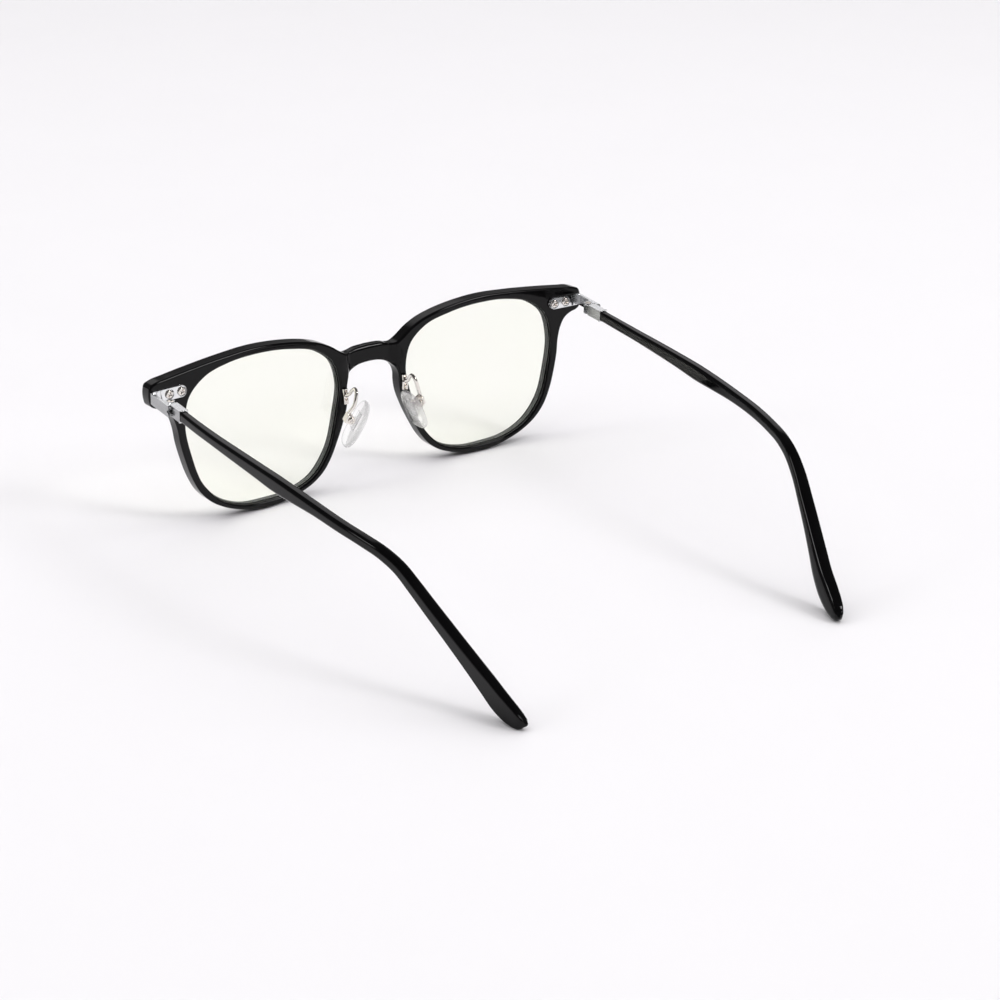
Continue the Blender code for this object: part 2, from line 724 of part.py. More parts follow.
def pad_solid():
    """The clear pad: a domed face to the nose and a pocket in its back for the insert."""
    frame = pad_frame()
    half = PAD_THICK / 2
    layers = [(-2.6, half * 0.80), (-0.8, half * 0.72), (-0.1, half * 0.35), (0, -0.1 * half)]
    layers += [(-0.35, -half * 0.55), (-1.1, -half * 0.85), (-2.5, -half)]
    rings = []
    for grow, out in layers:
        x = out - PAD_PIVOT_OUT
        rings.append([(x, y, z - PAD_PIVOT_UP) for y, z in pad_outline(grow)])
    bm = bmesh.new()
    loft(bm, rings)
    bm.transform(frame)
    bmesh.ops.recalc_face_normals(bm, faces=bm.faces)
    floor = -PAD_PIVOT_OUT + half * 0.8 - INSERT_THICK - 2 * INSERT_GAP
    reach_y = INSERT_WIDTH / 2 + INSERT_GAP
    reach_z = INSERT_LENGTH / 2 + INSERT_GAP
    pocket = box((floor, 0), (-reach_y, reach_y), (-reach_z, reach_z), frame)
    return cut(bm, [pocket])


def insert_solid():
    """The stiff insert: a plate in the pad's pocket and the lug that the pad screw holds."""
    frame = pad_frame()
    low = -PAD_PIVOT_OUT + PAD_THICK * 0.4 - INSERT_THICK - INSERT_GAP
    plate = box(
        (low, low + INSERT_THICK), (-INSERT_WIDTH / 2, INSERT_WIDTH / 2),
        (-INSERT_LENGTH / 2, INSERT_LENGTH / 2), frame,
    )
    outline = [(low + 0.1, -LUG_R), (0, -LUG_R)]
    outline += [(LUG_R * cos(a), LUG_R * sin(a)) for a in fan(-pi / 2, pi / 2, 6)[1:]]
    outline.append((low + 0.1, LUG_R))
    upright = Matrix(((1, 0, 0), (0, 0, -1), (0, 1, 0))).to_4x4()
    lug = prism(outline, -LUG_HALF_WIDTH, LUG_HALF_WIDTH, frame @ upright)
    bore = prism(circle(PAD_BORE_R, 8), -3, 3, frame @ upright)
    return cut(joined([plate, lug]), [bore])


def pad_box_solid():
    """The small box at the arm's end: a back wall and two round cheeks that carry the screw."""
    frame = pad_frame()
    upright = Matrix(((1, 0, 0), (0, 0, -1), (0, 1, 0))).to_4x4()
    outline = [(CHEEK_R * cos(a), CHEEK_R * sin(a)) for a in fan(pi / 2, 3 * pi / 2, 8)]
    outline += [(BOX_BACK + BOX_WALL, -CHEEK_R), (BOX_BACK + BOX_WALL, CHEEK_R)]
    body = prism(outline, -CHEEK_OUT, CHEEK_OUT, frame @ upright)
    room = box((-3, BOX_BACK), (-CHEEK_IN, CHEEK_IN), (-3, 3), frame)
    bore = prism(circle(PAD_BORE_R, 8), -3, 3, frame @ upright)
    return cut(body, [room, bore])


def mount_solid():
    """The mount let into the rim's back: two blocks on a thin strip, each with a pin."""
    solids = []
    low = MOUNT_GAP
    frame = back_face_frame(MOUNT_U, 0)
    width = (-MOUNT_HALF_WIDTH, MOUNT_HALF_WIDTH)
    narrow = (-MOUNT_STRIP_HALF_WIDTH, MOUNT_STRIP_HALF_WIDTH)
    upper_v, lower_v = (v for v, _half in MOUNT_BLOCKS)
    solids.append(box(narrow, (lower_v, upper_v), (low, low + MOUNT_STRIP), frame))
    for v, half in MOUNT_BLOCKS:
        solids.append(box(width, (v - half, v + half), (low + 0.05, low + MOUNT_THICK), frame))
        solids.append(prism(circle(MOUNT_PIN_R, 8, (0, v)), -MOUNT_PIN_LENGTH, low + 0.1, frame))
    return joined(solids)


def make_nose_pad(side, name, clear, bright):
    """One nose pad with its insert, screw, box, arm and mount."""
    frame = pad_frame()
    pivot = frame.translation
    place("nose_pad_" + name, pad_solid(), clear, side, pivot, 50)
    place("pad_insert_" + name, insert_solid(), clear, side, pivot)
    place("pad_box_" + name, pad_box_solid(), bright, side)
    along = frame @ Matrix.Rotation(-pi / 2, 4, "X")
    seat = CHEEK_OUT + 0.1
    profile = [
        (PAD_SCREW_R, -CHEEK_OUT), (PAD_SCREW_R, seat), (PAD_SCREW_HEAD_R, seat),
        (PAD_SCREW_HEAD_R, seat + PAD_SCREW_HEAD),
    ]
    place("pad_screw_" + name, turned(profile, 12, along), bright, side)
    end = frame @ Vector((BOX_BACK + BOX_WALL / 2, 0, CHEEK_R + 0.12))
    route = smooth_path([Vector(p) for p in ARM_ROUTE] + [end], 3)
    place("pad_arm_" + name, tube(route, ARM_R, 8), bright, side, sharp=60)
    place("pad_mount_" + name, mount_solid(), bright, side)


# ---- the glasses -----------------------------------------------------------------------


def build_glasses():
    for obj in list(bpy.data.objects):
        bpy.data.objects.remove(obj)
    black = material("gloss_black_plastic", (0.006, 0.006, 0.007), 0.08)
    glass = material("coated_lens", (0.93, 0.96, 0.84), 0.02, transmission=1.0, alpha=0.25)
    satin = material("satin_silver", (0.62, 0.63, 0.64), 0.32, metallic=1.0)
    bright = material("polished_nickel", (0.80, 0.77, 0.72), 0.12, metallic=1.0)
    steel = material("core_steel", (0.50, 0.50, 0.50), 0.4, metallic=1.0)
    clear = material("clear_silicone", (0.92, 0.93, 0.92), 0.12, transmission=1.0, alpha=0.4)
    make_front(black)
    for side, name in ((1, "left"), (-1, "right")):
        make_lens(side, "lens_" + name, glass)
        make_end(side, name, bright, satin)
        make_temple(side, name, black, satin, steel)
        make_nose_pad(side, name, clear, bright)


build_glasses()
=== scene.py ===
"""Looks of the blue light glasses: fine meshes, materials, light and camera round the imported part.

Lengths are in millimetres in the part's own frame, and meshes are scaled to metres as they are made.
+X points to the wearer's left, -Y out of the front of the glasses, and +Z up.
Each piece is built for the wearer's left side and mirrored to make its right-hand twin.
"""

import json
from math import atan2, cos, hypot, pi, radians, sin

import bmesh
import bpy
from mathutils import Matrix, Vector


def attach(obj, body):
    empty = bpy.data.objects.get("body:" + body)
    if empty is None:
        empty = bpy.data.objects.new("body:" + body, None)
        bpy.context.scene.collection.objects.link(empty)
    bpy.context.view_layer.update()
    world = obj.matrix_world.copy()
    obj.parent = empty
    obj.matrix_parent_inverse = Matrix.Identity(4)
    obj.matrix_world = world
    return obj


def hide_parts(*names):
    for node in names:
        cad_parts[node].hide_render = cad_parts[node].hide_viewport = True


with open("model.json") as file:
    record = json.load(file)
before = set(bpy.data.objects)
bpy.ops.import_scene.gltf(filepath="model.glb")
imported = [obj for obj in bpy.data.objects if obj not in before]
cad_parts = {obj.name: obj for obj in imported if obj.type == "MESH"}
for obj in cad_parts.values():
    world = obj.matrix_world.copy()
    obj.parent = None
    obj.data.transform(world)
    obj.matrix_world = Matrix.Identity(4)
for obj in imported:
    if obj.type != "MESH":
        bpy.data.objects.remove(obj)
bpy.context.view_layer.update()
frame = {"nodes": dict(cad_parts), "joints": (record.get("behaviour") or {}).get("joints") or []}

MM = 0.001
SIDES = ((1, "left"), (-1, "right"))

# ---- places taken from the frame ------------------------------------------------------------

JOINTS = {joint["name"]: joint for joint in frame["joints"]}
HINGE = Vector(JOINTS["left_temple_fold"]["pos_m"]) / MM
HINGE_AXIS = Vector(JOINTS["left_temple_fold"]["axis"]).normalized()
PAD_PIVOT = Vector(JOINTS["left_pad_tilt"]["pos_m"]) / MM
PAD_AXIS = Vector(JOINTS["left_pad_tilt"]["axis"]).normalized()
HINGE_BEHIND_FRONT = 6.4
SHIFT = Vector((0, HINGE.y - HINGE_BEHIND_FRONT, 0))

# ---- the front's shape: u across, v up, w towards the wearer; its edges are rounder than the part's ---

FRONT_DEPTH = 4.5
FRONT_TILT = radians(4.12)
FACE_FORM = 0.00049
FOOT_U = 35.7
BACK_EDGE = 0.6
BRIDGE_BACK_EDGE = 1.2
FRONT_EDGE = 0.8
BRIDGE_RECESS = 1.6
BRIDGE_FLAT = 6.4
BRIDGE_END = 8.5
OUTLINE_SPACING = 0.55
LIFT = (FRONT_DEPTH - FRONT_EDGE - FACE_FORM * FOOT_U**2) * sin(FRONT_TILT)

HALF_TOP = [
    (0.0, 38.6), (4.0, 38.4), (7.6, 37.8), (9.9, 39.0), (12.6, 40.9), (16.3, 42.8), (21.0, 44.2),
    (28.0, 45.4), (36.7, 46.0), (46.0, 45.5), (56.0, 44.5), (64.0, 43.5), (67.4, 43.0),
    (69.2, 42.2), (69.65, 40.7), (69.6, 38.0), (69.3, 36.9), (68.4, 36.2), (66.4, 35.6),
    (64.4, 34.4), (62.9, 32.0), (61.9, 28.5), (61.4, 24.5), (60.3, 19.5), (58.7, 14.2),
    (56.2, 9.2), (53.0, 5.8), (49.0, 3.3), (44.0, 1.4), (40.0, 0.45), (37.2, 0.0),
]
HALF_UNDER = [
    (34.2, 0.0), (30.5, 0.35), (24.5, 1.8), (20.4, 3.6), (17.3, 6.0), (15.0, 9.0), (12.7, 13.3),
    (10.2, 18.9), (8.7, 23.6), (8.4, 26.4), (8.4, 28.8), (7.7, 30.7), (6.3, 32.2), (4.2, 33.2),
    (2.0, 33.6), (0.0, 33.7),
]
LENS_OPENING = [
    (36.7, 44.0), (25.5, 43.0), (17.6, 40.8), (12.8, 36.8), (10.9, 30.6), (12.4, 21.2),
    (16.0, 10.8), (20.9, 5.2), (28.6, 2.4), (36.2, 2.05), (43.9, 2.85), (50.8, 6.2), (55.1, 11.2),
    (58.2, 20.4), (59.4, 29.6), (57.6, 36.8), (52.6, 41.2), (45.0, 43.4),
]
GROOVE_W = -2.1
GROOVE_DEPTH = 0.9
GROOVE_HALF = 0.75
GROOVE_LIP = 0.12
LENS_THICK = 1.9
LENS_BULGE = 1.3
LENS_EDGE_GAP = 0.18
LENS_BEVEL = 0.6
LENS_BEVEL_HALF = 0.5
SHELL_SHARP = radians(40)
LENS_SHARP = radians(30)

# ---- hinge and end piece --------------------------------------------------------------------

HINGE_HALF = 1.55
KNUCKLE_R = 1.15
KNUCKLE_THICK = 0.8
KNUCKLE_GAP = 0.1
PLATE_V = 39.4
PLATE_R = 1.6
PLATE_LOW = 0.1
PLATE_THICK = 0.7
PLATE_INNER_U = 60.4
PLATE_OUTER_U = 68.9
PLATE_SCREW_U = (60.4, 64.1)
OUTER_PLATE = (1.35, 2.2)
OUTER_PLATE_Y = (-6.75, 3.0)
LOBE_R = 0.62
LOBE_NOTCH = (0.25, 0.24)
RIDGES_FROM_END = (2.75, 1.55)
RIDGE_WIDE = 0.5
HINGE_BORE_R = 0.6
HINGE_SCREW_R = 0.5
HINGE_SEAT = (1.0, 0.38)
PLATE_BORE_R = 0.65
PLATE_SEAT = (1.42, 0.42)
PLATE_HEAD = (1.16, 0.66, 0.4)
PLATE_SHANK_END = -2.55
SCREW_TURN = 0.5
THROUGH = 3.0
FERRULE_Y = (1.5, 7.3)
FERRULE_X = (-1.15, 1.25)
FERRULE_RIM = 0.45
FERRULE_RIM_OUT = 0.09
SOCKET = (0.9, 1.2, 4.3)

# ---- temple: stations along its middle line, (y, x, z, height, thickness) -------------------

TEMPLE = [
    (14.0, 67.25, 38.85, 2.80, 2.30), (20.0, 67.25, 38.50, 2.85, 2.45), (30.0, 67.1, 38.05, 2.90, 2.70),
    (40.0, 66.8, 37.60, 3.30, 2.80), (50.0, 66.4, 37.10, 3.75, 2.85), (58.0, 66.0, 36.60, 4.20, 2.90),
    (66.0, 65.5, 36.25, 3.80, 2.90), (75.0, 64.8, 35.80, 3.15, 2.90), (85.0, 63.8, 34.90, 2.95, 2.90),
    (93.0, 62.4, 33.90, 2.90, 2.95), (99.0, 61.1, 32.75, 3.00, 3.00), (104.0, 59.8, 30.70, 3.10, 3.05),
    (108.5, 58.5, 27.30, 3.30, 3.20), (113.5, 56.7, 22.60, 3.60, 3.35), (118.5, 54.8, 17.80, 4.10, 3.40),
    (123.5, 52.8, 12.80, 4.90, 3.40), (128.0, 51.0, 8.25, 5.90, 3.35), (131.8, 49.9, 4.95, 6.40, 3.25),
    (134.8, 49.1, 3.05, 5.70, 3.05), (137.0, 48.5, 2.07, 4.20, 2.75), (138.2, 48.15, 1.80, 2.60, 2.15),
    (138.69, 48.0, 1.7, 1.20, 1.30),
]
DROP_START = 96.0
DROP_END = 112.0
DROP_ROUND_X = 0.52
DROP_ROUND_Z = 0.40
TENON_LENGTH = 4.0
TENON_HALF_X = 0.7
TENON_HALF_Z = 1.0
CORE_BORE_R = 0.68
CORE_STATIONS = 9
CORE_END_ROOM = 0.8
ARM_CORNER = 0.66
DROP_CORNER = 0.40
TEMPLE_STEPS = 8
CORNER_STEPS = 7

# ---- nose pads ------------------------------------------------------------------------------

PAD_DOWN = Vector((0.422, -0.201, -0.884)).normalized()
PAD_LENGTH = 14.4
PAD_WIDTH = 8.6
PAD_THICK = 2.0
PAD_PIVOT_OUT = 2.3
PAD_PIVOT_UP = 0.9
# the pad's outline from its back to its front: how much it grows, and its place in half thicknesses
PAD_LAYERS = [
    (-3.9, 0.62), (-3.2, 0.66), (-2.4, 0.78), (-1.6, 0.80), (-0.9, 0.74), (-0.45, 0.60),
    (-0.15, 0.40), (-0.02, 0.16), (0, -0.08), (-0.08, -0.3), (-0.3, -0.52), (-0.7, -0.72),
    (-1.3, -0.87), (-2.2, -0.96), (-3.2, -1.0), (-3.9, -1.01),
]
MOUNT_U = 9.7
MOUNT_BLOCKS = ((27.7, 0.75), (25.3, 1.2))
MOUNT_HOLE_R = 0.5
MOUNT_PIN_R = 0.35
PAD_BORE_R = 0.45
PAD_HEAD = (1.02, 1.2, 0.42, 0.22)
LUG_R = 0.9
CHEEK_R = 1.2
CHEEK_REACH = 1.55
ALONG_SCREW = Matrix(((1, 0, 0), (0, 0, -1), (0, 1, 0))).to_4x4()
ARM_R = 0.52
ARM_ROUTE = [
    (9.7, -0.85, 26.9), (9.6, 0.6, 27.7), (9.4, 2.0, 29.3), (9.3, 3.1, 30.0), (9.45, 4.0, 29.4),
    (9.9, 4.45, 27.8), (10.5, 4.45, 25.8),
]

# ---- paths ----------------------------------------------------------------------------------


def smooth_path(points, steps):
    """Points on a smooth curve through all the given points, with tangents by chord length."""
    points = [Vector(p) for p in points]
    chords = [(b - a).length for a, b in zip(points, points[1:])]
    slopes = [(b - a) / c for a, b, c in zip(points, points[1:], chords)]
    tangents = [slopes[0]]
    for i in range(1, len(slopes)):
        before, after = chords[i - 1], chords[i]
        tangents.append((slopes[i - 1] * after + slopes[i] * before) / (before + after))
    tangents.append(slopes[-1])
    path = []
    for i, chord in enumerate(chords):
        for step in range(steps):
            t = step / steps
            path.append(
                points[i] * (2 * t**3 - 3 * t**2 + 1)
                + tangents[i] * (chord * (t**3 - 2 * t**2 + t))
                + points[i + 1] * (3 * t**2 - 2 * t**3)
                + tangents[i + 1] * (chord * (t**3 - t**2))
            )
    path.append(points[-1])
    return path


def even_path(path, spacing):
    """The same path with points an even distance apart."""
    lengths = [0.0]
    for a, b in zip(path, path[1:]):
        lengths.append(lengths[-1] + (b - a).length)
    count = max(1, round(lengths[-1] / spacing))
    even = []
    i = 0
    for k in range(count + 1):
        want = lengths[-1] * k / count
        while i < len(path) - 2 and lengths[i + 1] < want:
            i += 1
        share = (want - lengths[i]) / (lengths[i + 1] - lengths[i])
        even.append(path[i].lerp(path[i + 1], share))
    return even


def front_outline():
    """The front's whole outline, counter-clockwise in u and v."""
    top = even_path(smooth_path(HALF_TOP, 12), OUTLINE_SPACING)
    under = even_path(smooth_path(HALF_UNDER, 12), OUTLINE_SPACING)
    half = top + under
    loop = half + [Vector((-p.x, p.y)) for p in reversed(half)][1:-1]
    loop.reverse()
    return loop


def lens_opening():
    """The lens opening of the wearer's left side, counter-clockwise."""
    points = [Vector(p) for p in LENS_OPENING]
    lap = smooth_path(points[-2:] + points + points[:3], 12)
    return even_path(lap[24:(2 + len(points)) * 12 + 1], OUTLINE_SPACING)[:-1]


def mirrored(loop):
    return [Vector((-p.x, p.y)) for p in reversed(loop)]


def inset_loop(loop, distance):
    """Move a counter-clockwise loop inwards; distance is a number or a function of the point."""
    moved = []
    for i, point in enumerate(loop):
        before = (point - loop[i - 1]).normalized()
        after = (loop[(i + 1) % len(loop)] - point).normalized()
        normal = Vector((-before.y - after.y, before.x + after.x)).normalized()
        spread = max(0.5, normal.dot(Vector((-after.y, after.x))))
        far = distance(point) if callable(distance) else distance
        moved.append(point + normal * (far / spread))
    return moved


def smooth_step(value, low, high):
    t = min(1, max(0, (value - low) / (high - low)))
    return t * t * (3 - 2 * t)


def fan(start, end, steps):
    return [start + (end - start) * i / steps for i in range(steps + 1)]


def circle(radius, sides, centre=(0, 0)):
    turn = 2 * pi / sides
    return [(centre[0] + radius * cos(i * turn), centre[1] + radius * sin(i * turn)) for i in range(sides)]


def arc(radius, start, end, steps, centre=(0, 0)):
    return [(centre[0] + radius * cos(a), centre[1] + radius * sin(a)) for a in fan(start, end, steps)]


# ---- frames of reference --------------------------------------------------------------------


def front_point(u, v, w):
    """From the flat front's (u, v, w) to the part's frame."""
    bent = w + FACE_FORM * u * u
    y = bent * cos(FRONT_TILT) - v * sin(FRONT_TILT)
    z = bent * sin(FRONT_TILT) + v * cos(FRONT_TILT) + LIFT
    return Vector((u, y, z)) + SHIFT


def back_face_frame(u, v):
    """A frame on the front's back face: x across, y up, z towards the wearer."""
    across = (front_point(u + 0.5, v, 0) - front_point(u - 0.5, v, 0)).normalized()
    up = (front_point(u, v + 0.5, 0) - front_point(u, v - 0.5, 0)).normalized()
    turned_to = Matrix((across, up, -across.cross(up))).transposed().to_4x4()
    return Matrix.Translation(front_point(u, v, 0)) @ turned_to


def hinge_frame():
    """A frame on the left hinge: z along the barrel, y along the open temple."""
    lean = atan2(HINGE_AXIS.y, HINGE_AXIS.z)
    return Matrix.Translation(HINGE) @ Matrix.Rotation(-lean, 4, "X")


def pad_frame():
    """A frame on the left pad screw: x from the pad towards the arm, y along the screw, z up."""
    up = -PAD_DOWN
    out = PAD_AXIS.cross(up).normalized()
    return Matrix.Translation(PAD_PIVOT) @ Matrix((out, PAD_AXIS, up)).transposed().to_4x4()


# ---- mesh tools -----------------------------------------------------------------------------


def add_ring(bm, points):
    return [bm.verts.new(p) for p in points]


def join_rings(bm, first, second):
    count = len(first)
    for i in range(count):
        j = (i + 1) % count
        bm.faces.new((first[i], first[j], second[j], second[i]))


def loft(rings, frame_=None):
    """Skin a row of rings and close both ends."""
    bm = bmesh.new()
    rows = [add_ring(bm, ring) for ring in rings]
    for first, second in zip(rows, rows[1:]):
        join_rings(bm, first, second)
    bm.faces.new(reversed(rows[0]))
    bm.faces.new(rows[-1])
    if frame_:
        bm.transform(frame_)
    return bm


def prism(outline, low, high, frame_=None):
    return loft([[(x, y, z) for x, y in outline] for z in (low, high)], frame_)


def box(x_range, y_range, z_range, frame_=None):
    (x0, x1), (y0, y1) = x_range, y_range
    return prism([(x0, y0), (x1, y0), (x1, y1), (x0, y1)], *z_range, frame_)


def turned(profile, sides, frame_):
    """A solid of revolution from (radius, z) pairs."""
    return loft([[(x, y, z) for x, y in circle(radius, sides)] for radius, z in profile], frame_)


def cylinder(radius, low, high, sides, frame_):
    return turned([(radius, low), (radius, high)], sides, frame_)


def tube(route, radius, sides, end_round=0.0):
    """A round wire along a route; its ends are rounded over by the given length."""
    rings = []
    side = Vector((1, 0, 0))
    for i, point in enumerate(route):
        ahead = (route[min(i + 1, len(route) - 1)] - route[max(i - 1, 0)]).normalized()
        side = (side - ahead * side.dot(ahead)).normalized()
        up = ahead.cross(side)
        sizes = [(0, 1)]
        if end_round and i == 0:
            sizes = [(-end_round * sin(a), cos(a)) for a in fan(1.4, 0, 4)]
        if end_round and i == len(route) - 1:
            sizes = [(end_round * sin(a), cos(a)) for a in fan(0, 1.4, 4)]
        for along, size in sizes:
            centre = point + ahead * along
            rings.append([centre + side * (x * size) + up * (y * size) for x, y in circle(radius, sides)])
    return loft(rings)


def to_mesh(bm):
    """Take a solid in millimetres to a mesh in metres, facing out."""
    bmesh.ops.recalc_face_normals(bm, faces=bm.faces)
    bm.transform(Matrix.Scale(MM, 4))
    mesh = bpy.data.meshes.new("solid")
    bm.to_mesh(mesh)
    bm.free()
    return mesh


def boolean(body, tools, operation):
    """Join or cut a solid with others, all in millimetres."""
    scratch = [bpy.data.objects.new("scratch", to_mesh(bm)) for bm in [body, *tools]]
    for obj in scratch:
        bpy.context.collection.objects.link(obj)
    for tool in scratch[1:]:
        modifier = scratch[0].modifiers.new("boolean", "BOOLEAN")
        modifier.operation = operation
        modifier.solver = "EXACT"
        modifier.object = tool
    bpy.context.view_layer.update()
    evaluated = scratch[0].evaluated_get(bpy.context.evaluated_depsgraph_get())
    result = bmesh.new()
    result.from_mesh(evaluated.to_mesh())
    result.transform(Matrix.Scale(1 / MM, 4))
    for obj in scratch:
        mesh = obj.data
        bpy.data.objects.remove(obj)
        bpy.data.meshes.remove(mesh)
    return result


def piece(name, bm, material, body, nodes, side=1, round_mm=0.0, steps=3, angle=30):
    """Link a finished piece that stands for CAD nodes; side = -1 mirrors it to the right."""
    mesh = to_mesh(bm)
    if side < 0:
        mesh.transform(Matrix.Diagonal((-1, 1, 1, 1)))
        mesh.flip_normals()
    mesh.name = name
    mesh.materials.append(material)
    mesh.shade_smooth()
    obj = bpy.data.objects.new(name, mesh)
    bpy.context.collection.objects.link(obj)
    if round_mm:
        rounding = obj.modifiers.new("edges", "BEVEL")
        rounding.width = round_mm * MM
        rounding.segments = steps
        rounding.limit_method = "ANGLE"
        rounding.angle_limit = radians(angle)
        rounding.use_clamp_overlap = True
        rounding.harden_normals = False
    weighted = obj.modifiers.new("normals", "WEIGHTED_NORMAL")
    weighted.keep_sharp = True
    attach(obj, body)
    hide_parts(*nodes)
    return obj


# ---- materials ------------------------------------------------------------------------------


def new_material(name):
    made = bpy.data.materials.new(name)
    made.use_nodes = True
    tree = made.node_tree
    shader = tree.nodes["Principled BSDF"]
    return made, tree, shader


def add_node(tree, kind, **values):
    node = tree.nodes.new(kind)
    for key, value in values.items():
        if key in node.inputs:
            node.inputs[key].default_value = value
        else:
            setattr(node, key, value)
    return node


def millimetres(tree, stretch=(1, 1, 1), turn=(0, 0, 0)):
    """Object coordinates in millimetres, stretched to lay a grain along one axis."""
    place = add_node(tree, "ShaderNodeTexCoord")
    mapping = add_node(tree, "ShaderNodeMapping")
    mapping.inputs["Scale"].default_value = [s / MM for s in stretch]
    mapping.inputs["Rotation"].default_value = turn
    tree.links.new(place.outputs["Object"], mapping.inputs["Vector"])
    return mapping.outputs["Vector"]


def noise(tree, vector, scale, detail=3.0, rough=0.5):
    node = add_node(tree, "ShaderNodeTexNoise", Scale=scale, Detail=detail, Roughness=rough)
    tree.links.new(vector, node.inputs["Vector"])
    return node.outputs["Fac"]


def spread(tree, value, low, high, from_low=0.3, from_high=0.7):
    """Map a noise value to a range."""
    node = add_node(tree, "ShaderNodeMapRange")
    node.inputs["From Min"].default_value = from_low
    node.inputs["From Max"].default_value = from_high
    node.inputs["To Min"].default_value = low
    node.inputs["To Max"].default_value = high
    tree.links.new(value, node.inputs["Value"])
    return node.outputs["Result"]


def blend_colours(tree, value, first, second):
    node = add_node(tree, "ShaderNodeMix", data_type="RGBA")
    tree.links.new(value, node.inputs["Factor"])
    node.inputs["A"].default_value = (*first, 1)
    node.inputs["B"].default_value = (*second, 1)
    return node.outputs["Result"]


def add_bump(tree, shader, height, strength, depth_mm):
    node = add_node(tree, "ShaderNodeBump", Strength=strength, Distance=depth_mm * MM)
    tree.links.new(height, node.inputs["Height"])
    tree.links.new(node.outputs["Normal"], shader.inputs["Normal"])


def black_plastic():
    """Polished black plastic with a faint ripple and very fine polishing marks."""
    made, tree, shader = new_material("gloss_black_plastic")
    plain = millimetres(tree)
    cloud = noise(tree, plain, 0.12)
    mixing = spread(tree, cloud, 0, 1)
    colour = blend_colours(tree, mixing, (0.0014, 0.0013, 0.0015), (0.0026, 0.0025, 0.0028))
    tree.links.new(colour, shader.inputs["Base Color"])
    marks = noise(tree, millimetres(tree, (6, 0.25, 6)), 1.0, 4.0)
    tree.links.new(spread(tree, marks, 0.03, 0.08), shader.inputs["Roughness"])
    add_bump(tree, shader, noise(tree, plain, 0.9, 2.0), 0.03, 0.03)
    shader.inputs["Specular IOR Level"].default_value = 0.2
    return made


def brushed_metal(name, colour, rough, stretch, painted_side_shade=1.0, back_rough=None):
    """Metal with a fine grain; its side faces can be painted darker as shade, and its back faces polished.
    """
    made, tree, shader = new_material(name)
    grain = noise(tree, millimetres(tree, stretch), 1.0, 5.0, 0.6)
    cloud = noise(tree, millimetres(tree), 0.5)
    darker = [c * 0.9 for c in colour]
    tinted = blend_colours(tree, spread(tree, cloud, 0, 1), darker, colour)
    roughness = spread(tree, grain, rough * 0.75, rough * 1.3)
    if back_rough is not None:
        place = add_node(tree, "ShaderNodeTexCoord")
        split = add_node(tree, "ShaderNodeSeparateXYZ")
        tree.links.new(place.outputs["Normal"], split.inputs["Vector"])
        sideways = add_node(tree, "ShaderNodeMath", operation="ABSOLUTE")
        tree.links.new(split.outputs["X"], sideways.inputs[0])
        # painted shade: faces turned along x are darkened in the colour, standing in for the shade on the
        # sides
        painted_shade = spread(tree, sideways.outputs["Value"], 1.0, painted_side_shade, 0.6, 0.9)
        scaled = add_node(tree, "ShaderNodeVectorMath", operation="SCALE")
        tree.links.new(tinted, scaled.inputs["Vector"])
        tree.links.new(painted_shade, scaled.inputs["Scale"])
        tinted = scaled.outputs["Vector"]
        polish = spread(tree, split.outputs["Y"], 1.0, back_rough / rough, 0.6, 0.9)
        smoother = add_node(tree, "ShaderNodeMath", operation="MULTIPLY")
        tree.links.new(roughness, smoother.inputs[0])
        tree.links.new(polish, smoother.inputs[1])
        roughness = smoother.outputs["Value"]
    tree.links.new(tinted, shader.inputs["Base Color"])
    tree.links.new(roughness, shader.inputs["Roughness"])
    add_bump(tree, shader, grain, 0.08, 0.01)
    shader.inputs["Metallic"].default_value = 1.0
    return made


def clear_material(name, tint, tint_2, rough, ior, passed, alpha=1.0):
    """Clear glass or silicone; lamps shine through it, tinted by the passed colour."""
    made, tree, shader = new_material(name)
    plain = millimetres(tree)
    cloud = noise(tree, plain, 0.07)
    tree.links.new(blend_colours(tree, spread(tree, cloud, 0, 1), tint, tint_2), shader.inputs["Base Color"])
    smear = noise(tree, plain, 0.35, 4.0)
    tree.links.new(spread(tree, smear, rough * 0.4, rough), shader.inputs["Roughness"])
    shader.inputs["Transmission Weight"].default_value = 1.0
    shader.inputs["IOR"].default_value = ior
    shader.inputs["Alpha"].default_value = alpha
    add_bump(tree, shader, noise(tree, plain, 0.4, 1.0), 0.02, 0.02)
    path = add_node(tree, "ShaderNodeLightPath")
    through = add_node(tree, "ShaderNodeBsdfTransparent", Color=(*passed, 1))
    mixed = add_node(tree, "ShaderNodeMixShader")
    output = tree.nodes["Material Output"]
    tree.links.new(path.outputs["Is Shadow Ray"], mixed.inputs[0])
    tree.links.new(shader.outputs["BSDF"], mixed.inputs[1])
    tree.links.new(through.outputs["BSDF"], mixed.inputs[2])
    tree.links.new(mixed.outputs["Shader"], output.inputs["Surface"])
    return made


def ground_edge_with_painted_shade():
    """The lens's ground edge, matt, with fine grinding marks, its colour painted nearly black for the shade
    it lies in within the frame's groove.
    """
    made, tree, shader = new_material("lens_edge")
    grain = noise(tree, millimetres(tree, (2, 2, 2)), 1.0, 4.0)
    # painted shade: near-black colour standing in for the shade inside the groove
    colour = blend_colours(tree, spread(tree, grain, 0, 1), (0.018, 0.021, 0.018), (0.035, 0.040, 0.034))
    tree.links.new(colour, shader.inputs["Base Color"])
    tree.links.new(spread(tree, grain, 0.35, 0.55), shader.inputs["Roughness"])
    add_bump(tree, shader, grain, 0.1, 0.01)
    return made


# ---- the front ------------------------------------------------------------------------------


def bridge_share(u):
    """1 in the middle of the bridge, 0 on the rims."""
    return 1 - smooth_step(abs(u), BRIDGE_FLAT, BRIDGE_END)


def back_edge_radius(point):
    return BACK_EDGE + (BRIDGE_BACK_EDGE - BACK_EDGE) * (1 - smooth_step(abs(point.x), 2.0, BRIDGE_END))


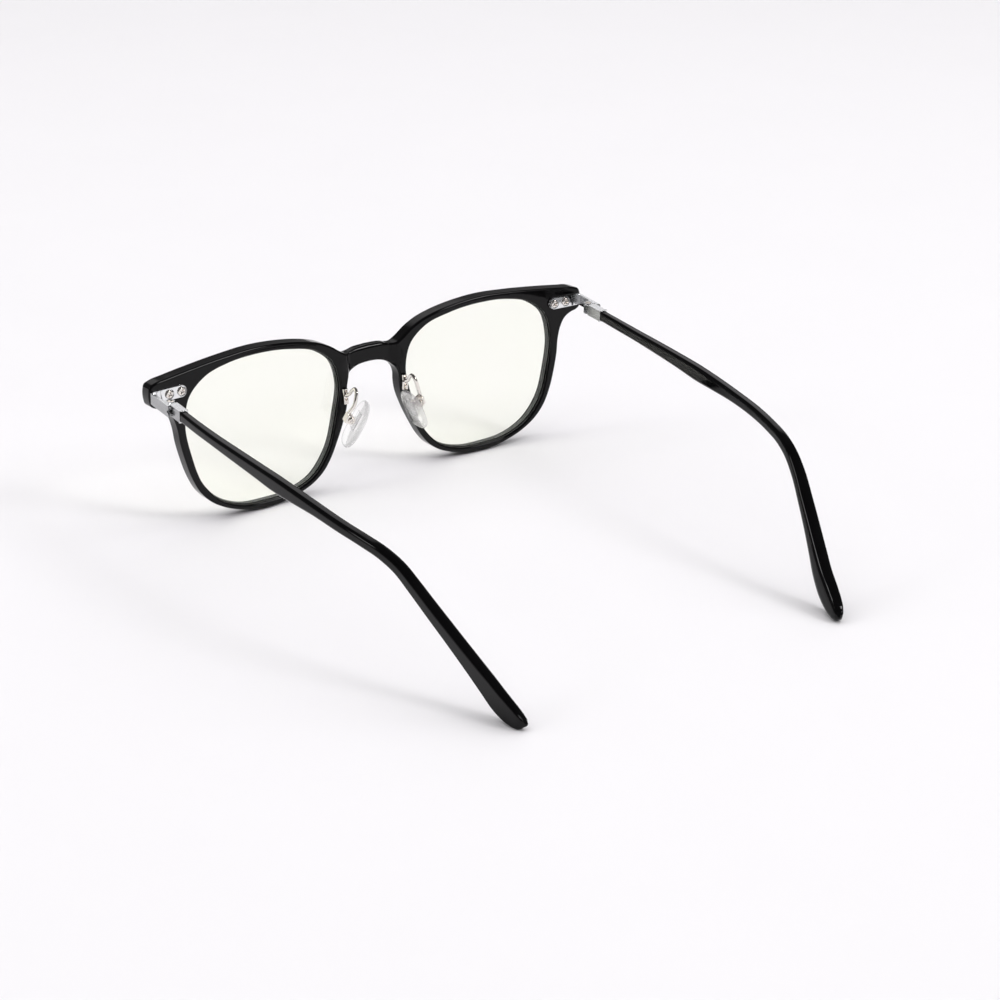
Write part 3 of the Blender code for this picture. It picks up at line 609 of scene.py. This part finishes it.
def front_profile(opening):
    """Steps of the wall from the back face to the front face: (inset, w, whether it rounds the back edge).

    On the rounded back edge, inset and w are shares of the edge's own radius.
    """
    steps = []
    for a in fan(0, pi / 2, 6):
        steps.append((1 - sin(a), 1 - cos(a), True))
    if opening:
        half = (
            (0, GROOVE_HALF + GROOVE_LIP), (0.04, GROOVE_HALF + 0.02),
            (GROOVE_DEPTH - 0.1, 0.1), (GROOVE_DEPTH, 0),
        )
        steps += [(inset, GROOVE_W + w, False) for inset, w in half]
        steps += [(inset, GROOVE_W - w, False) for inset, w in reversed(half[:-1])]
    for a in fan(pi / 2, 0, 8):
        steps.append((FRONT_EDGE * (1 - sin(a)), -FRONT_DEPTH + FRONT_EDGE * (1 - cos(a)), False))
    return steps


def front_solid():
    """The slab with two lens openings and grooves, bent to the face and tilted."""
    bm = bmesh.new()
    back_rings = []
    front_rings = []
    walls = [(front_outline(), 1), (lens_opening(), -1), (mirrored(lens_opening()), -1)]
    for loop, inwards in walls:
        rows = []
        for inset, w, rounds_back in front_profile(inwards < 0):
            if rounds_back:
                moved = inset_loop(loop, lambda p: inwards * inset * back_edge_radius(p))
                points = [(p.x, p.y, -w * back_edge_radius(q)) for p, q in zip(moved, loop)]
            else:
                points = [(p.x, p.y, w) for p in inset_loop(loop, inwards * inset)]
            rows.append(add_ring(bm, points))
        for first, second in zip(rows, rows[1:]):
            join_rings(bm, first, second)
        back_rings.append(rows[0])
        front_rings.append(rows[-1])
    for rings in (back_rings, front_rings):
        edges = [bm.edges.get((ring[i - 1], ring[i])) for ring in rings for i in range(len(ring))]
        bmesh.ops.triangle_fill(bm, use_beauty=True, edges=edges)
    for u in fan(-BRIDGE_END, BRIDGE_END, 24):
        whole = bm.verts[:] + bm.edges[:] + bm.faces[:]
        bmesh.ops.bisect_plane(bm, geom=whole, dist=1e-5, plane_co=(u, 0, 0), plane_no=(1, 0, 0))
    for vert in bm.verts:
        u, v, w = vert.co
        vert.co = front_point(u, v, w - BRIDGE_RECESS * bridge_share(u) * (1 + w / FRONT_DEPTH))
    return bm


def screw_holes():
    """Cutters for the holes behind the end pieces and the nose-pad mounts."""
    cutters = []
    for side, _name in SIDES:
        mirror = Matrix.Diagonal((side, 1, 1, 1))
        for u in PLATE_SCREW_U:
            cutters.append(cylinder(PLATE_BORE_R, -3, 2, 24, mirror @ back_face_frame(u, PLATE_V)))
        for v, _half in MOUNT_BLOCKS:
            cutters.append(cylinder(MOUNT_HOLE_R, -1.8, 1, 16, mirror @ back_face_frame(MOUNT_U, v)))
    return cutters


def build_front(black):
    body = boolean(front_solid(), screw_holes(), "DIFFERENCE")
    made = piece("front_shell", body, black, "front", ["front_frame"])
    made.data.set_sharp_from_angle(angle=SHELL_SHARP)


def build_lens(side, name, glass, edge):
    """A domed lens with a bevelled edge that sits in the groove."""
    opening = lens_opening()
    middle = sum(opening, Vector((0, 0))) / len(opening)
    rim = inset_loop(opening, LENS_EDGE_GAP)
    bevel = inset_loop(opening, -LENS_BEVEL)
    half = LENS_THICK / 2
    shares = [0.02, 0.1, 0.2, 0.3, 0.4, 0.5, 0.6, 0.7, 0.8, 0.9, 0.96, 1]

    def dome(share, offset):
        w = GROOVE_W - LENS_BULGE * (1 - share * share) + offset
        return [front_point(*(middle + (p - middle) * share), w) for p in rim]

    rings = [dome(share, half) for share in shares]
    rings.append([front_point(p.x, p.y, GROOVE_W + LENS_BEVEL_HALF) for p in rim])
    rings.append([front_point(p.x, p.y, GROOVE_W) for p in bevel])
    rings.append([front_point(p.x, p.y, GROOVE_W - LENS_BEVEL_HALF) for p in rim])
    rings += [dome(share, -half) for share in reversed(shares)]
    body = loft(rings)
    body.faces.ensure_lookup_table()
    first_edge = (len(shares) - 1) * len(rim)
    # the bevelled edge takes the second material, whose colour is painted dark as shade
    for face in body.faces[first_edge:first_edge + 4 * len(rim)]:
        face.material_index = 1
    made = piece("lens_" + name + "_surface", body, glass, "front", ["lens_" + name], side)
    made.data.materials.append(edge)
    made.data.set_sharp_from_angle(angle=LENS_SHARP)


# ---- end pieces and hinges ------------------------------------------------------------------


def knuckle_outline(reach):
    """A knuckle's outline: round about the hinge axis, with a web running to the reach point."""
    away = atan2(reach[1], reach[0])
    length = hypot(*reach)
    round_part = arc(KNUCKLE_R, away + pi / 2, away + 3 * pi / 2, 28)
    ahead = (cos(away) * length, sin(away) * length)
    across = (KNUCKLE_R * sin(away), -KNUCKLE_R * cos(away))
    return round_part + [
        (ahead[0] + across[0], ahead[1] + across[1]), (ahead[0] - across[0], ahead[1] - across[1]),
    ]


def outer_plate_outline():
    """The outer plate from the side, (y, z): two round lobes at the rear with a notch between them."""
    front, rear = OUTER_PLATE_Y
    lower = arc(LOBE_R, -pi / 2, pi / 2, 10, (rear - LOBE_R, -HINGE_HALF + LOBE_R))
    lower.append((rear - LOBE_R - LOBE_NOTCH[0], -LOBE_NOTCH[1]))
    upper = [(y, -z) for y, z in reversed(lower)]
    return [(front, -HINGE_HALF)] + lower + upper + [(front, HINGE_HALF)]


def end_piece_solid():
    """Back plate with sunk screw seats and a folded step, outer plate and two hinge knuckles."""
    hinge = hinge_frame()
    frame_ = back_face_frame(PLATE_INNER_U, PLATE_V)
    reach = PLATE_OUTER_U - PLATE_INNER_U
    top = PLATE_LOW + PLATE_THICK
    left = arc(PLATE_R, pi / 2, 3 * pi / 2, 28)
    plate = prism([(reach, -PLATE_R), (reach, PLATE_R)] + left, PLATE_LOW, top, frame_)
    upright = hinge @ Matrix(((0, 0, 1), (1, 0, 0), (0, 1, 0))).to_4x4()
    outer = prism(outer_plate_outline(), *OUTER_PLATE, upright)
    ridges = []
    for from_end in RIDGES_FROM_END:
        x = reach - from_end
        y = PLATE_R - 0.15
        ridges.append(box((x, x + RIDGE_WIDE), (-y, y), (top - 0.2, top + 0.14), frame_))
    knuckles = []
    for low in (-HINGE_HALF, HINGE_HALF - KNUCKLE_THICK):
        knuckles.append(prism(knuckle_outline((OUTER_PLATE[0] + 0.2, 0)), low, low + KNUCKLE_THICK, hinge))
    body = boolean(plate, [outer] + ridges + knuckles, "UNION")
    cutters = [
        cylinder(HINGE_BORE_R, -THROUGH, THROUGH, 24, hinge),
        cylinder(HINGE_SEAT[0], HINGE_HALF - HINGE_SEAT[1], THROUGH, 32, hinge),
    ]
    for u in PLATE_SCREW_U:
        at = back_face_frame(u, PLATE_V)
        cutters.append(cylinder(PLATE_BORE_R, -1, THROUGH, 24, at))
        cutters.append(cylinder(PLATE_SEAT[0], top - PLATE_SEAT[1], THROUGH, 36, at))
    return boolean(body, cutters, "DIFFERENCE")


def cross_head(radius, low, height, recess, frame_):
    """A pan head with a cross recess, on top of a shank that starts below it."""
    top = low + height
    dome = [(radius, low), (radius, low + height * 0.3)]
    for a in fan(0.35, pi / 2, 5):
        dome.append((radius * (0.72 + 0.28 * cos(a)), low + height * (0.3 + 0.7 * sin(a))))
    dome.append((0.05, top))
    head = turned(dome, 40, frame_)
    arm = radius * 0.66
    half = radius * 0.15
    arms = []
    for turn in (SCREW_TURN, SCREW_TURN + pi / 2):
        turned_frame = frame_ @ Matrix.Rotation(turn, 4, "Z")
        arms.append(box((-arm, arm), (-half, half), (top - recess, top + 1), turned_frame))
    return boolean(head, arms, "DIFFERENCE")


def build_end_piece(side, name, satin, bright):
    piece(
        "end_plate_" + name, end_piece_solid(), satin, "front", ["end_piece_" + name],
        side, 0.12,
    )
    radius, height, recess = PLATE_HEAD
    seat = PLATE_LOW + PLATE_THICK - 0.4
    for label, u in zip(("inner", "outer"), PLATE_SCREW_U):
        at = back_face_frame(u, PLATE_V)
        head = cross_head(radius, seat, height, recess, at)
        shank = turned([(0.3, PLATE_SHANK_END), (0.5, PLATE_SHANK_END + 0.25), (0.5, seat + 0.1)], 20, at)
        piece(
            f"end_screw_{label}_{name}", boolean(head, [shank], "UNION"), bright, "front",
            [f"plate_screw_{label}_{name}"], side, 0.05, 2,
        )


def build_hinge_screw(side, name, bright):
    """A slotted screw down the barrel."""
    hinge = hinge_frame()
    low = HINGE_HALF - 0.3
    shank = HINGE_SCREW_R
    profile = [
        (shank - 0.08, -HINGE_HALF), (shank, -HINGE_HALF + 0.1), (shank, low), (0.92, low),
        (0.92, low + 0.24), (0.86, low + 0.3), (0.05, low + 0.32),
    ]
    slot_cut = box((-1.2, 1.2), (-0.13, 0.13), (low + 0.14, low + 1), hinge @ Matrix.Rotation(0.9, 4, "Z"))
    body = boolean(turned(profile, 36, hinge), [slot_cut], "DIFFERENCE")
    piece(
        "barrel_screw_" + name, body, bright, "front", ["hinge_screw_" + name],
        side, 0.04, 2,
    )


def ferrule_solid():
    """The middle knuckle and the sleeve, with a raised rim round the mouth that holds the temple."""
    hinge = hinge_frame()
    x0, x1 = FERRULE_X
    y0, y1 = FERRULE_Y
    sleeve = box(FERRULE_X, (y0, y1 - 0.3), (-HINGE_HALF, HINGE_HALF), hinge)
    half = HINGE_HALF + FERRULE_RIM_OUT
    rim = box((x0 - FERRULE_RIM_OUT, x1 + FERRULE_RIM_OUT), (y1 - FERRULE_RIM, y1), (-half, half), hinge)
    middle = HINGE_HALF - KNUCKLE_THICK - KNUCKLE_GAP
    knuckle = prism(knuckle_outline((0, y0 + 0.3)), -middle, middle, hinge)
    centre = (x0 + x1) / 2
    wide, tall, deep = SOCKET
    socket = box((centre - wide, centre + wide), (y1 - deep, y1 + 1), (-tall, tall), hinge)
    bore = cylinder(HINGE_BORE_R, -THROUGH, THROUGH, 24, hinge)
    return boolean(boolean(sleeve, [rim, knuckle], "UNION"), [socket, bore], "DIFFERENCE")


def build_ferrule(side, name, satin):
    piece(
        "temple_ferrule_" + name, ferrule_solid(), satin, name + "_temple", ["temple_hinge_" + name],
        side, 0.1,
    )


# ---- temples --------------------------------------------------------------------------------


def rounded_section(half_x, half_z, corner, count, inner_x=None, inner_z=None):
    """A rounded bar, (x, z), with count steps to each corner; the corners at -x may be larger."""
    inner = (corner if inner_x is None else inner_x, corner if inner_z is None else inner_z)
    points = []
    for turn, sx, sz in ((0, 1, 1), (1, -1, 1), (2, -1, -1), (3, 1, -1)):
        rx, rz = (corner, corner) if sx > 0 else inner
        for a in fan(turn * pi / 2, (turn + 1) * pi / 2, count):
            points.append((sx * (half_x - rx) + rx * cos(a), sz * (half_z - rz) + rz * sin(a)))
    return points


def temple_stations(steps):
    middle = smooth_path([(x, y, z) for y, x, z, _height, _thick in TEMPLE], steps)
    sizes = smooth_path([(y, height, thick) for y, _x, _z, height, thick in TEMPLE], steps)
    return [(point + SHIFT, size.y, size.z) for point, size in zip(middle, sizes)]


def station_frame(stations, i):
    """Across and up directions of a temple section, square to the middle line."""
    before = stations[max(i - 1, 0)][0]
    after = stations[min(i + 1, len(stations) - 1)][0]
    ahead = (after - before).normalized()
    across = (Vector((1, 0, 0)) - ahead * ahead.x).normalized()
    return ahead, across, across.cross(ahead)


def section_ring(centre, across, up, section):
    return [centre + across * x + up * z for x, z in section]


def temple_solid():
    """The temple with its tenon, skinned from the blind end of the core's bore, out and back."""
    steps = TEMPLE_STEPS
    stations = temple_stations(steps)
    bore_section = rounded_section(CORE_BORE_R, CORE_BORE_R, CORE_BORE_R - 0.01, CORNER_STEPS)
    bore = []
    for i in range(0, (CORE_STATIONS - 1) * steps + 1, steps // 2):
        ahead, across, up = station_frame(stations, i)
        bore.append([stations[i][0], across, up])
    tail = bore[-1][0] + (bore[-1][0] - bore[-2][0]).normalized() * CORE_END_ROOM
    bore.append([tail, bore[-1][1], bore[-1][2]])
    rings = [section_ring(*place, bore_section) for place in reversed(bore)]
    ahead, across, up = station_frame(stations, 0)
    start = stations[0][0]
    front = start - ahead * TENON_LENGTH
    rings.append(section_ring(front, across, up, bore_section))
    for back, shrink in ((0, 0.12), (0.12, 0), (TENON_LENGTH - 0.25, 0)):
        section = rounded_section(TENON_HALF_X - shrink * 0.15, TENON_HALF_Z - shrink, 0.25, CORNER_STEPS)
        rings.append(section_ring(front + ahead * back, across, up, section))
    height, thick = stations[0][1:]
    for back, shrink in ((-0.25, 0.3), (-0.2, 0.12), (-0.08, 0.02)):
        section = rounded_section(thick / 2 - shrink, height / 2 - shrink, 0.5, CORNER_STEPS)
        rings.append(section_ring(start + ahead * back, across, up, section))
    for i, (point, height, thick) in enumerate(stations):
        ahead, across, up = station_frame(stations, i)
        drop = smooth_step(point.y - SHIFT.y, DROP_START, DROP_END)
        corner = min(height, thick) / 2 * (ARM_CORNER - (ARM_CORNER - DROP_CORNER) * drop)
        inner_x = corner + drop * (DROP_ROUND_X * thick - corner)
        inner_z = corner + drop * (DROP_ROUND_Z * height - corner)
        section = rounded_section(thick / 2, height / 2, corner, CORNER_STEPS, inner_x, inner_z)
        rings.append(section_ring(point, across, up, section))
    last, height, thick = stations[-1]
    for along, size in ((0.22, 0.8), (0.36, 0.5), (0.4, 0.12)):
        corner = min(height, thick) / 2 * size * 0.9
        section = rounded_section(thick / 2 * size, height / 2 * size, corner, CORNER_STEPS)
        rings.append(section_ring(last + ahead * along, across, up, section))
    return loft(rings)


def build_temple(side, name, black):
    piece(
        f"temple_{name}_arm", temple_solid(), black, name + "_temple", ["temple_" + name],
        side,
    )


# ---- nose pads ------------------------------------------------------------------------------


def pad_outline(grow, count=72):
    """The pad seen from behind, (y, z): straighter at the front, rounder towards the wearer."""
    points = []
    for i in range(count):
        a = 2 * pi * (i + 0.5) / count
        sign_y = 1 if cos(a) > 0 else -1
        sign_z = 1 if sin(a) > 0 else -1
        bulge = 0.5 if cos(a) > 0 else 0.5 - 0.08 * cos(a) ** 2
        wide = PAD_WIDTH * bulge * abs(cos(a)) ** 0.85 * sign_y
        tall = PAD_LENGTH / 2 * abs(sin(a)) ** 0.9 * sign_z
        length = hypot(wide, tall)
        scale = (length + grow) / length
        points.append((wide * scale, tall * scale))
    return points


def pad_solid():
    """The clear pad: domed towards the nose, hollowed a little on its back, with the insert's pocket."""
    frame_ = pad_frame()
    half = PAD_THICK / 2
    rings = []
    for grow, out in PAD_LAYERS:
        rings.append([(out * half - PAD_PIVOT_OUT, y, z - PAD_PIVOT_UP) for y, z in pad_outline(grow)])
    body = loft(rings, frame_)
    pocket_floor = -PAD_PIVOT_OUT + half * 0.8 - 0.9
    pocket = box((pocket_floor, 0), (-1.4, 1.4), (-2.7, 2.7), frame_)
    return boolean(body, [pocket], "DIFFERENCE")


def insert_solid():
    """The stiff insert: a plate in the pad's pocket and the lug that the pad screw holds."""
    frame_ = pad_frame()
    low = -PAD_PIVOT_OUT + PAD_THICK * 0.4 - 0.7
    plate = box((low, low + 0.5), (-1.2, 1.2), (-2.5, 2.5), frame_)
    lug = [(low + 0.1, -LUG_R), (0, -LUG_R)] + arc(LUG_R, -pi / 2, pi / 2, 18)[1:] + [(low + 0.1, LUG_R)]
    upright = frame_ @ ALONG_SCREW
    solid = boolean(plate, [prism(lug, -0.5, 0.5, upright)], "UNION")
    return boolean(solid, [cylinder(PAD_BORE_R, -THROUGH, THROUGH, 20, upright)], "DIFFERENCE")


def pad_box_solid():
    """The small box at the arm's end: a back wall and two round cheeks that carry the screw."""
    frame_ = pad_frame()
    upright = frame_ @ ALONG_SCREW
    outline = arc(CHEEK_R, pi / 2, 3 * pi / 2, 28) + [(CHEEK_REACH, -CHEEK_R), (CHEEK_REACH, CHEEK_R)]
    body = prism(outline, -1.15, 1.15, upright)
    room = box((-3, 1.1), (-0.65, 0.65), (-3, 3), frame_)
    bore = cylinder(PAD_BORE_R, -THROUGH, THROUGH, 20, upright)
    return boolean(body, [room, bore], "DIFFERENCE")


def mount_solid():
    """The mount in the rim's back: two blocks with sunk middles on a thin strip, each with a pin."""
    frame_ = back_face_frame(MOUNT_U, 0)
    solids = []
    cutters = []
    for v, half in MOUNT_BLOCKS:
        solids.append(box((-0.7, 0.7), (v - half, v + half), (0.15, 0.95), frame_))
        solids.append(cylinder(MOUNT_PIN_R, -1.6, 0.3, 16, back_face_frame(MOUNT_U, v)))
        cutters.append(turned([(0.36, 0.3), (0.42, 1.2)], 20, back_face_frame(MOUNT_U, v + half * 0.2)))
    upper_v, lower_v = (v for v, _half in MOUNT_BLOCKS)
    strip = box((-0.5, 0.5), (lower_v, upper_v), (0.1, 0.4), frame_)
    return boolean(boolean(strip, solids, "UNION"), cutters, "DIFFERENCE")


def build_pad(side, name, clear, bright):
    frame_ = pad_frame()
    pad_body = name + "_pad"
    piece(
        f"nose_pad_{name}_soft", pad_solid(), clear, pad_body, ["nose_pad_" + name], side,
        0.08, 2, 50,
    )
    piece(
        f"pad_lug_{name}", insert_solid(), clear, pad_body, ["pad_insert_" + name], side,
        0.08, 2,
    )
    piece(
        f"pad_clevis_{name}", pad_box_solid(), bright, "front", ["pad_box_" + name],
        side, 0.1,
    )
    along = frame_ @ Matrix.Rotation(-pi / 2, 4, "X")
    head = cross_head(*PAD_HEAD, along)
    shank = turned([(0.3, -1.2), (0.35, -1.1), (0.35, 1.3)], 20, along)
    piece(
        f"pad_pin_{name}", boolean(head, [shank], "UNION"), bright, "front", ["pad_screw_" + name],
        side, 0.04, 2,
    )
    end = frame_ @ Vector((1.32, 0, 1.25))
    route = smooth_path([Vector(p) + SHIFT for p in ARM_ROUTE] + [end], 8)
    piece(
        f"pad_wire_{name}", tube(route, ARM_R, 20, 0.12), bright, "front", ["pad_arm_" + name],
        side,
    )
    piece(
        f"pad_seat_{name}", mount_solid(), bright, "front", ["pad_mount_" + name],
        side, 0.08,
    )


# ---- floor, light and camera ----------------------------------------------------------------

FLOOR_SIZE = 2.4
LAMP_DISTANCE = 1.5
# name, turn from the picture's right and rise in degrees, size in metres, power in watts
SOFTBOXES = (
    ("softbox_right", 0, 48, 1.2, 6.2),
    ("softbox_left", 180, 33, 1.0, 4.0),
    ("softbox_top", 90, 85, 2.6, 31.6),
)
# bright panels that only reflections show: turn, rise, full and outer radius in degrees, radiance
WORLD_PANELS = (
    (68, 29, 7, 13, 1.0), (90, 30, 7, 13, 1.0), (112, 31, 7, 13, 0.6),
    (-22, 36, 6, 9, 15.0), (190, 30, 3, 6, 8.0),
)
WALL_LIGHT = 0.16
BACKDROP_LIGHT = 0.95
OVERHEAD_LIGHT = 0.07
WALL_TOP = radians(15)
OVERHEAD_START = radians(50)
CAMERA_LENS = 89.83
CAMERA_AZIMUTH = radians(144.841)
CAMERA_ELEVATION = radians(24.60)
CAMERA_ROLL = radians(0.642)
CAMERA_DISTANCE = 729.78
CAMERA_TARGET = Vector((-41.705, 0, -17.379)) + SHIFT


def build_floor():
    made, tree, shader = new_material("pale_floor")
    grain = noise(tree, millimetres(tree), 0.02)
    colour = blend_colours(tree, spread(tree, grain, 0, 1), (0.775, 0.763, 0.780), (0.781, 0.769, 0.786))
    tree.links.new(colour, shader.inputs["Base Color"])
    shader.inputs["Roughness"].default_value = 0.6
    shader.inputs["Specular IOR Level"].default_value = 0.1
    bm = bmesh.new()
    bmesh.ops.create_grid(bm, x_segments=8, y_segments=8, size=FLOOR_SIZE / 2 / MM)
    mesh = to_mesh(bm)
    mesh.materials.append(made)
    floor = bpy.data.objects.new("floor", mesh)
    bpy.context.collection.objects.link(floor)


def camera_axes():
    a, e, r = CAMERA_AZIMUTH, CAMERA_ELEVATION, CAMERA_ROLL
    back = Vector((sin(a) * cos(e), -cos(a) * cos(e), sin(e)))
    right = Vector((cos(a), sin(a), 0))
    up = back.cross(right)
    return right * cos(r) + up * sin(r), up * cos(r) - right * sin(r), back


def studio_direction(turn, rise):
    """A direction from the object, in degrees: turned from the picture's right, and raised."""
    right = Vector((cos(CAMERA_AZIMUTH), sin(CAMERA_AZIMUTH), 0))
    away = Vector((-right.y, right.x, 0))
    turn, rise = radians(turn), radians(rise)
    return (right * cos(turn) + away * sin(turn)) * cos(rise) + Vector((0, 0, sin(rise)))


def build_world():
    """What the gloss reflects: dim walls, dark overhead, with bright soft panels; pale seen directly."""
    world = bpy.data.worlds.new("studio")
    bpy.context.scene.world = world
    world.use_nodes = True
    tree = world.node_tree
    place = add_node(tree, "ShaderNodeTexCoord")
    split = add_node(tree, "ShaderNodeSeparateXYZ")
    tree.links.new(place.outputs["Generated"], split.inputs["Vector"])
    total = spread(
        tree, split.outputs["Z"], WALL_LIGHT, OVERHEAD_LIGHT, sin(WALL_TOP), sin(OVERHEAD_START)
    )
    for turn, rise, inner, outer, light in WORLD_PANELS:
        towards = add_node(tree, "ShaderNodeVectorMath", operation="DOT_PRODUCT")
        tree.links.new(place.outputs["Generated"], towards.inputs[0])
        towards.inputs[1].default_value = studio_direction(turn, rise)
        panel = spread(tree, towards.outputs["Value"], 0, light, cos(radians(outer)), cos(radians(inner)))
        added = add_node(tree, "ShaderNodeMath", operation="ADD")
        tree.links.new(total, added.inputs[0])
        tree.links.new(panel, added.inputs[1])
        total = added.outputs["Value"]
    # rays straight from the camera, or on through a lens, see a plain pale backdrop
    path = add_node(tree, "ShaderNodeLightPath")
    seen = add_node(tree, "ShaderNodeMath", operation="ADD")
    tree.links.new(path.outputs["Is Camera Ray"], seen.inputs[0])
    tree.links.new(path.outputs["Is Transmission Ray"], seen.inputs[1])
    straight = add_node(tree, "ShaderNodeMath", operation="LESS_THAN")
    tree.links.new(path.outputs["Diffuse Depth"], straight.inputs[0])
    straight.inputs[1].default_value = 0.5
    backdrop = add_node(tree, "ShaderNodeMath", operation="MULTIPLY")
    tree.links.new(seen.outputs["Value"], backdrop.inputs[0])
    tree.links.new(straight.outputs["Value"], backdrop.inputs[1])
    shown = add_node(tree, "ShaderNodeMix", data_type="FLOAT")
    tree.links.new(backdrop.outputs["Value"], shown.inputs["Factor"])
    tree.links.new(total, shown.inputs["A"])
    shown.inputs["B"].default_value = BACKDROP_LIGHT
    background = tree.nodes["Background"]
    background.inputs["Color"].default_value = (1.0, 0.985, 1.0, 1)
    tree.links.new(shown.outputs["Result"], background.inputs["Strength"])


def build_lights():
    """Three softboxes that light the scene; the world's panels stand for them in reflections."""
    for name, turn, rise, size, power in SOFTBOXES:
        light = bpy.data.lights.new(name, "AREA")
        light.shape = "SQUARE"
        light.size = size
        light.energy = power
        lamp = bpy.data.objects.new(name, light)
        towards = studio_direction(turn, rise)
        lamp.location = towards * LAMP_DISTANCE
        lamp.rotation_mode = "QUATERNION"
        lamp.rotation_quaternion = towards.to_track_quat("Z", "Y")
        lamp.visible_glossy = False
        bpy.context.collection.objects.link(lamp)


def build_camera():
    across, up, back = camera_axes()
    camera = bpy.data.objects.new("camera", bpy.data.cameras.new("camera"))
    camera.data.lens = CAMERA_LENS
    camera.data.sensor_width = 36
    camera.data.clip_start = 0.01
    camera.data.clip_end = 20
    place = (CAMERA_TARGET + back * CAMERA_DISTANCE) * MM
    camera.matrix_world = Matrix.Translation(place) @ Matrix((across, up, back)).transposed().to_4x4()
    bpy.context.collection.objects.link(camera)
    bpy.context.scene.camera = camera


# ---- the whole scene ------------------------------------------------------------------------


def build_glasses():
    black = black_plastic()
    edge = ground_edge_with_painted_shade()
    glass = clear_material(
        "coated_lens", (0.99, 1.0, 0.93), (0.985, 1.0, 0.92), 0.01, 1.5, (0.975, 0.985, 0.945)
    )
    clear = clear_material(
        "clear_silicone", (0.99, 0.985, 0.985), (0.975, 0.975, 0.98), 0.05, 1.3, (0.95, 0.95, 0.95), 0.42
    )
    # the 0.5 paints the satin's side faces half as dark, as painted shade
    satin = brushed_metal("satin_silver", (0.84, 0.85, 0.86), 0.24, (8, 0.5, 8), 0.5, 0.09)
    bright = brushed_metal("polished_nickel", (0.86, 0.82, 0.77), 0.08, (3, 3, 3))
    steel = brushed_metal("core_steel", (0.5, 0.5, 0.5), 0.35, (8, 0.3, 8))
    build_front(black)
    for side, name in SIDES:
        build_lens(side, name, glass, edge)
        build_end_piece(side, name, satin, bright)
        build_hinge_screw(side, name, bright)
        build_ferrule(side, name, satin)
        build_temple(side, name, black)
        build_pad(side, name, clear, bright)
        frame["nodes"]["temple_core_" + name].material_slots[0].material = steel


build_camera()
build_glasses()
build_floor()
build_world()
build_lights()
bpy.context.scene.view_settings.view_transform = "Standard"
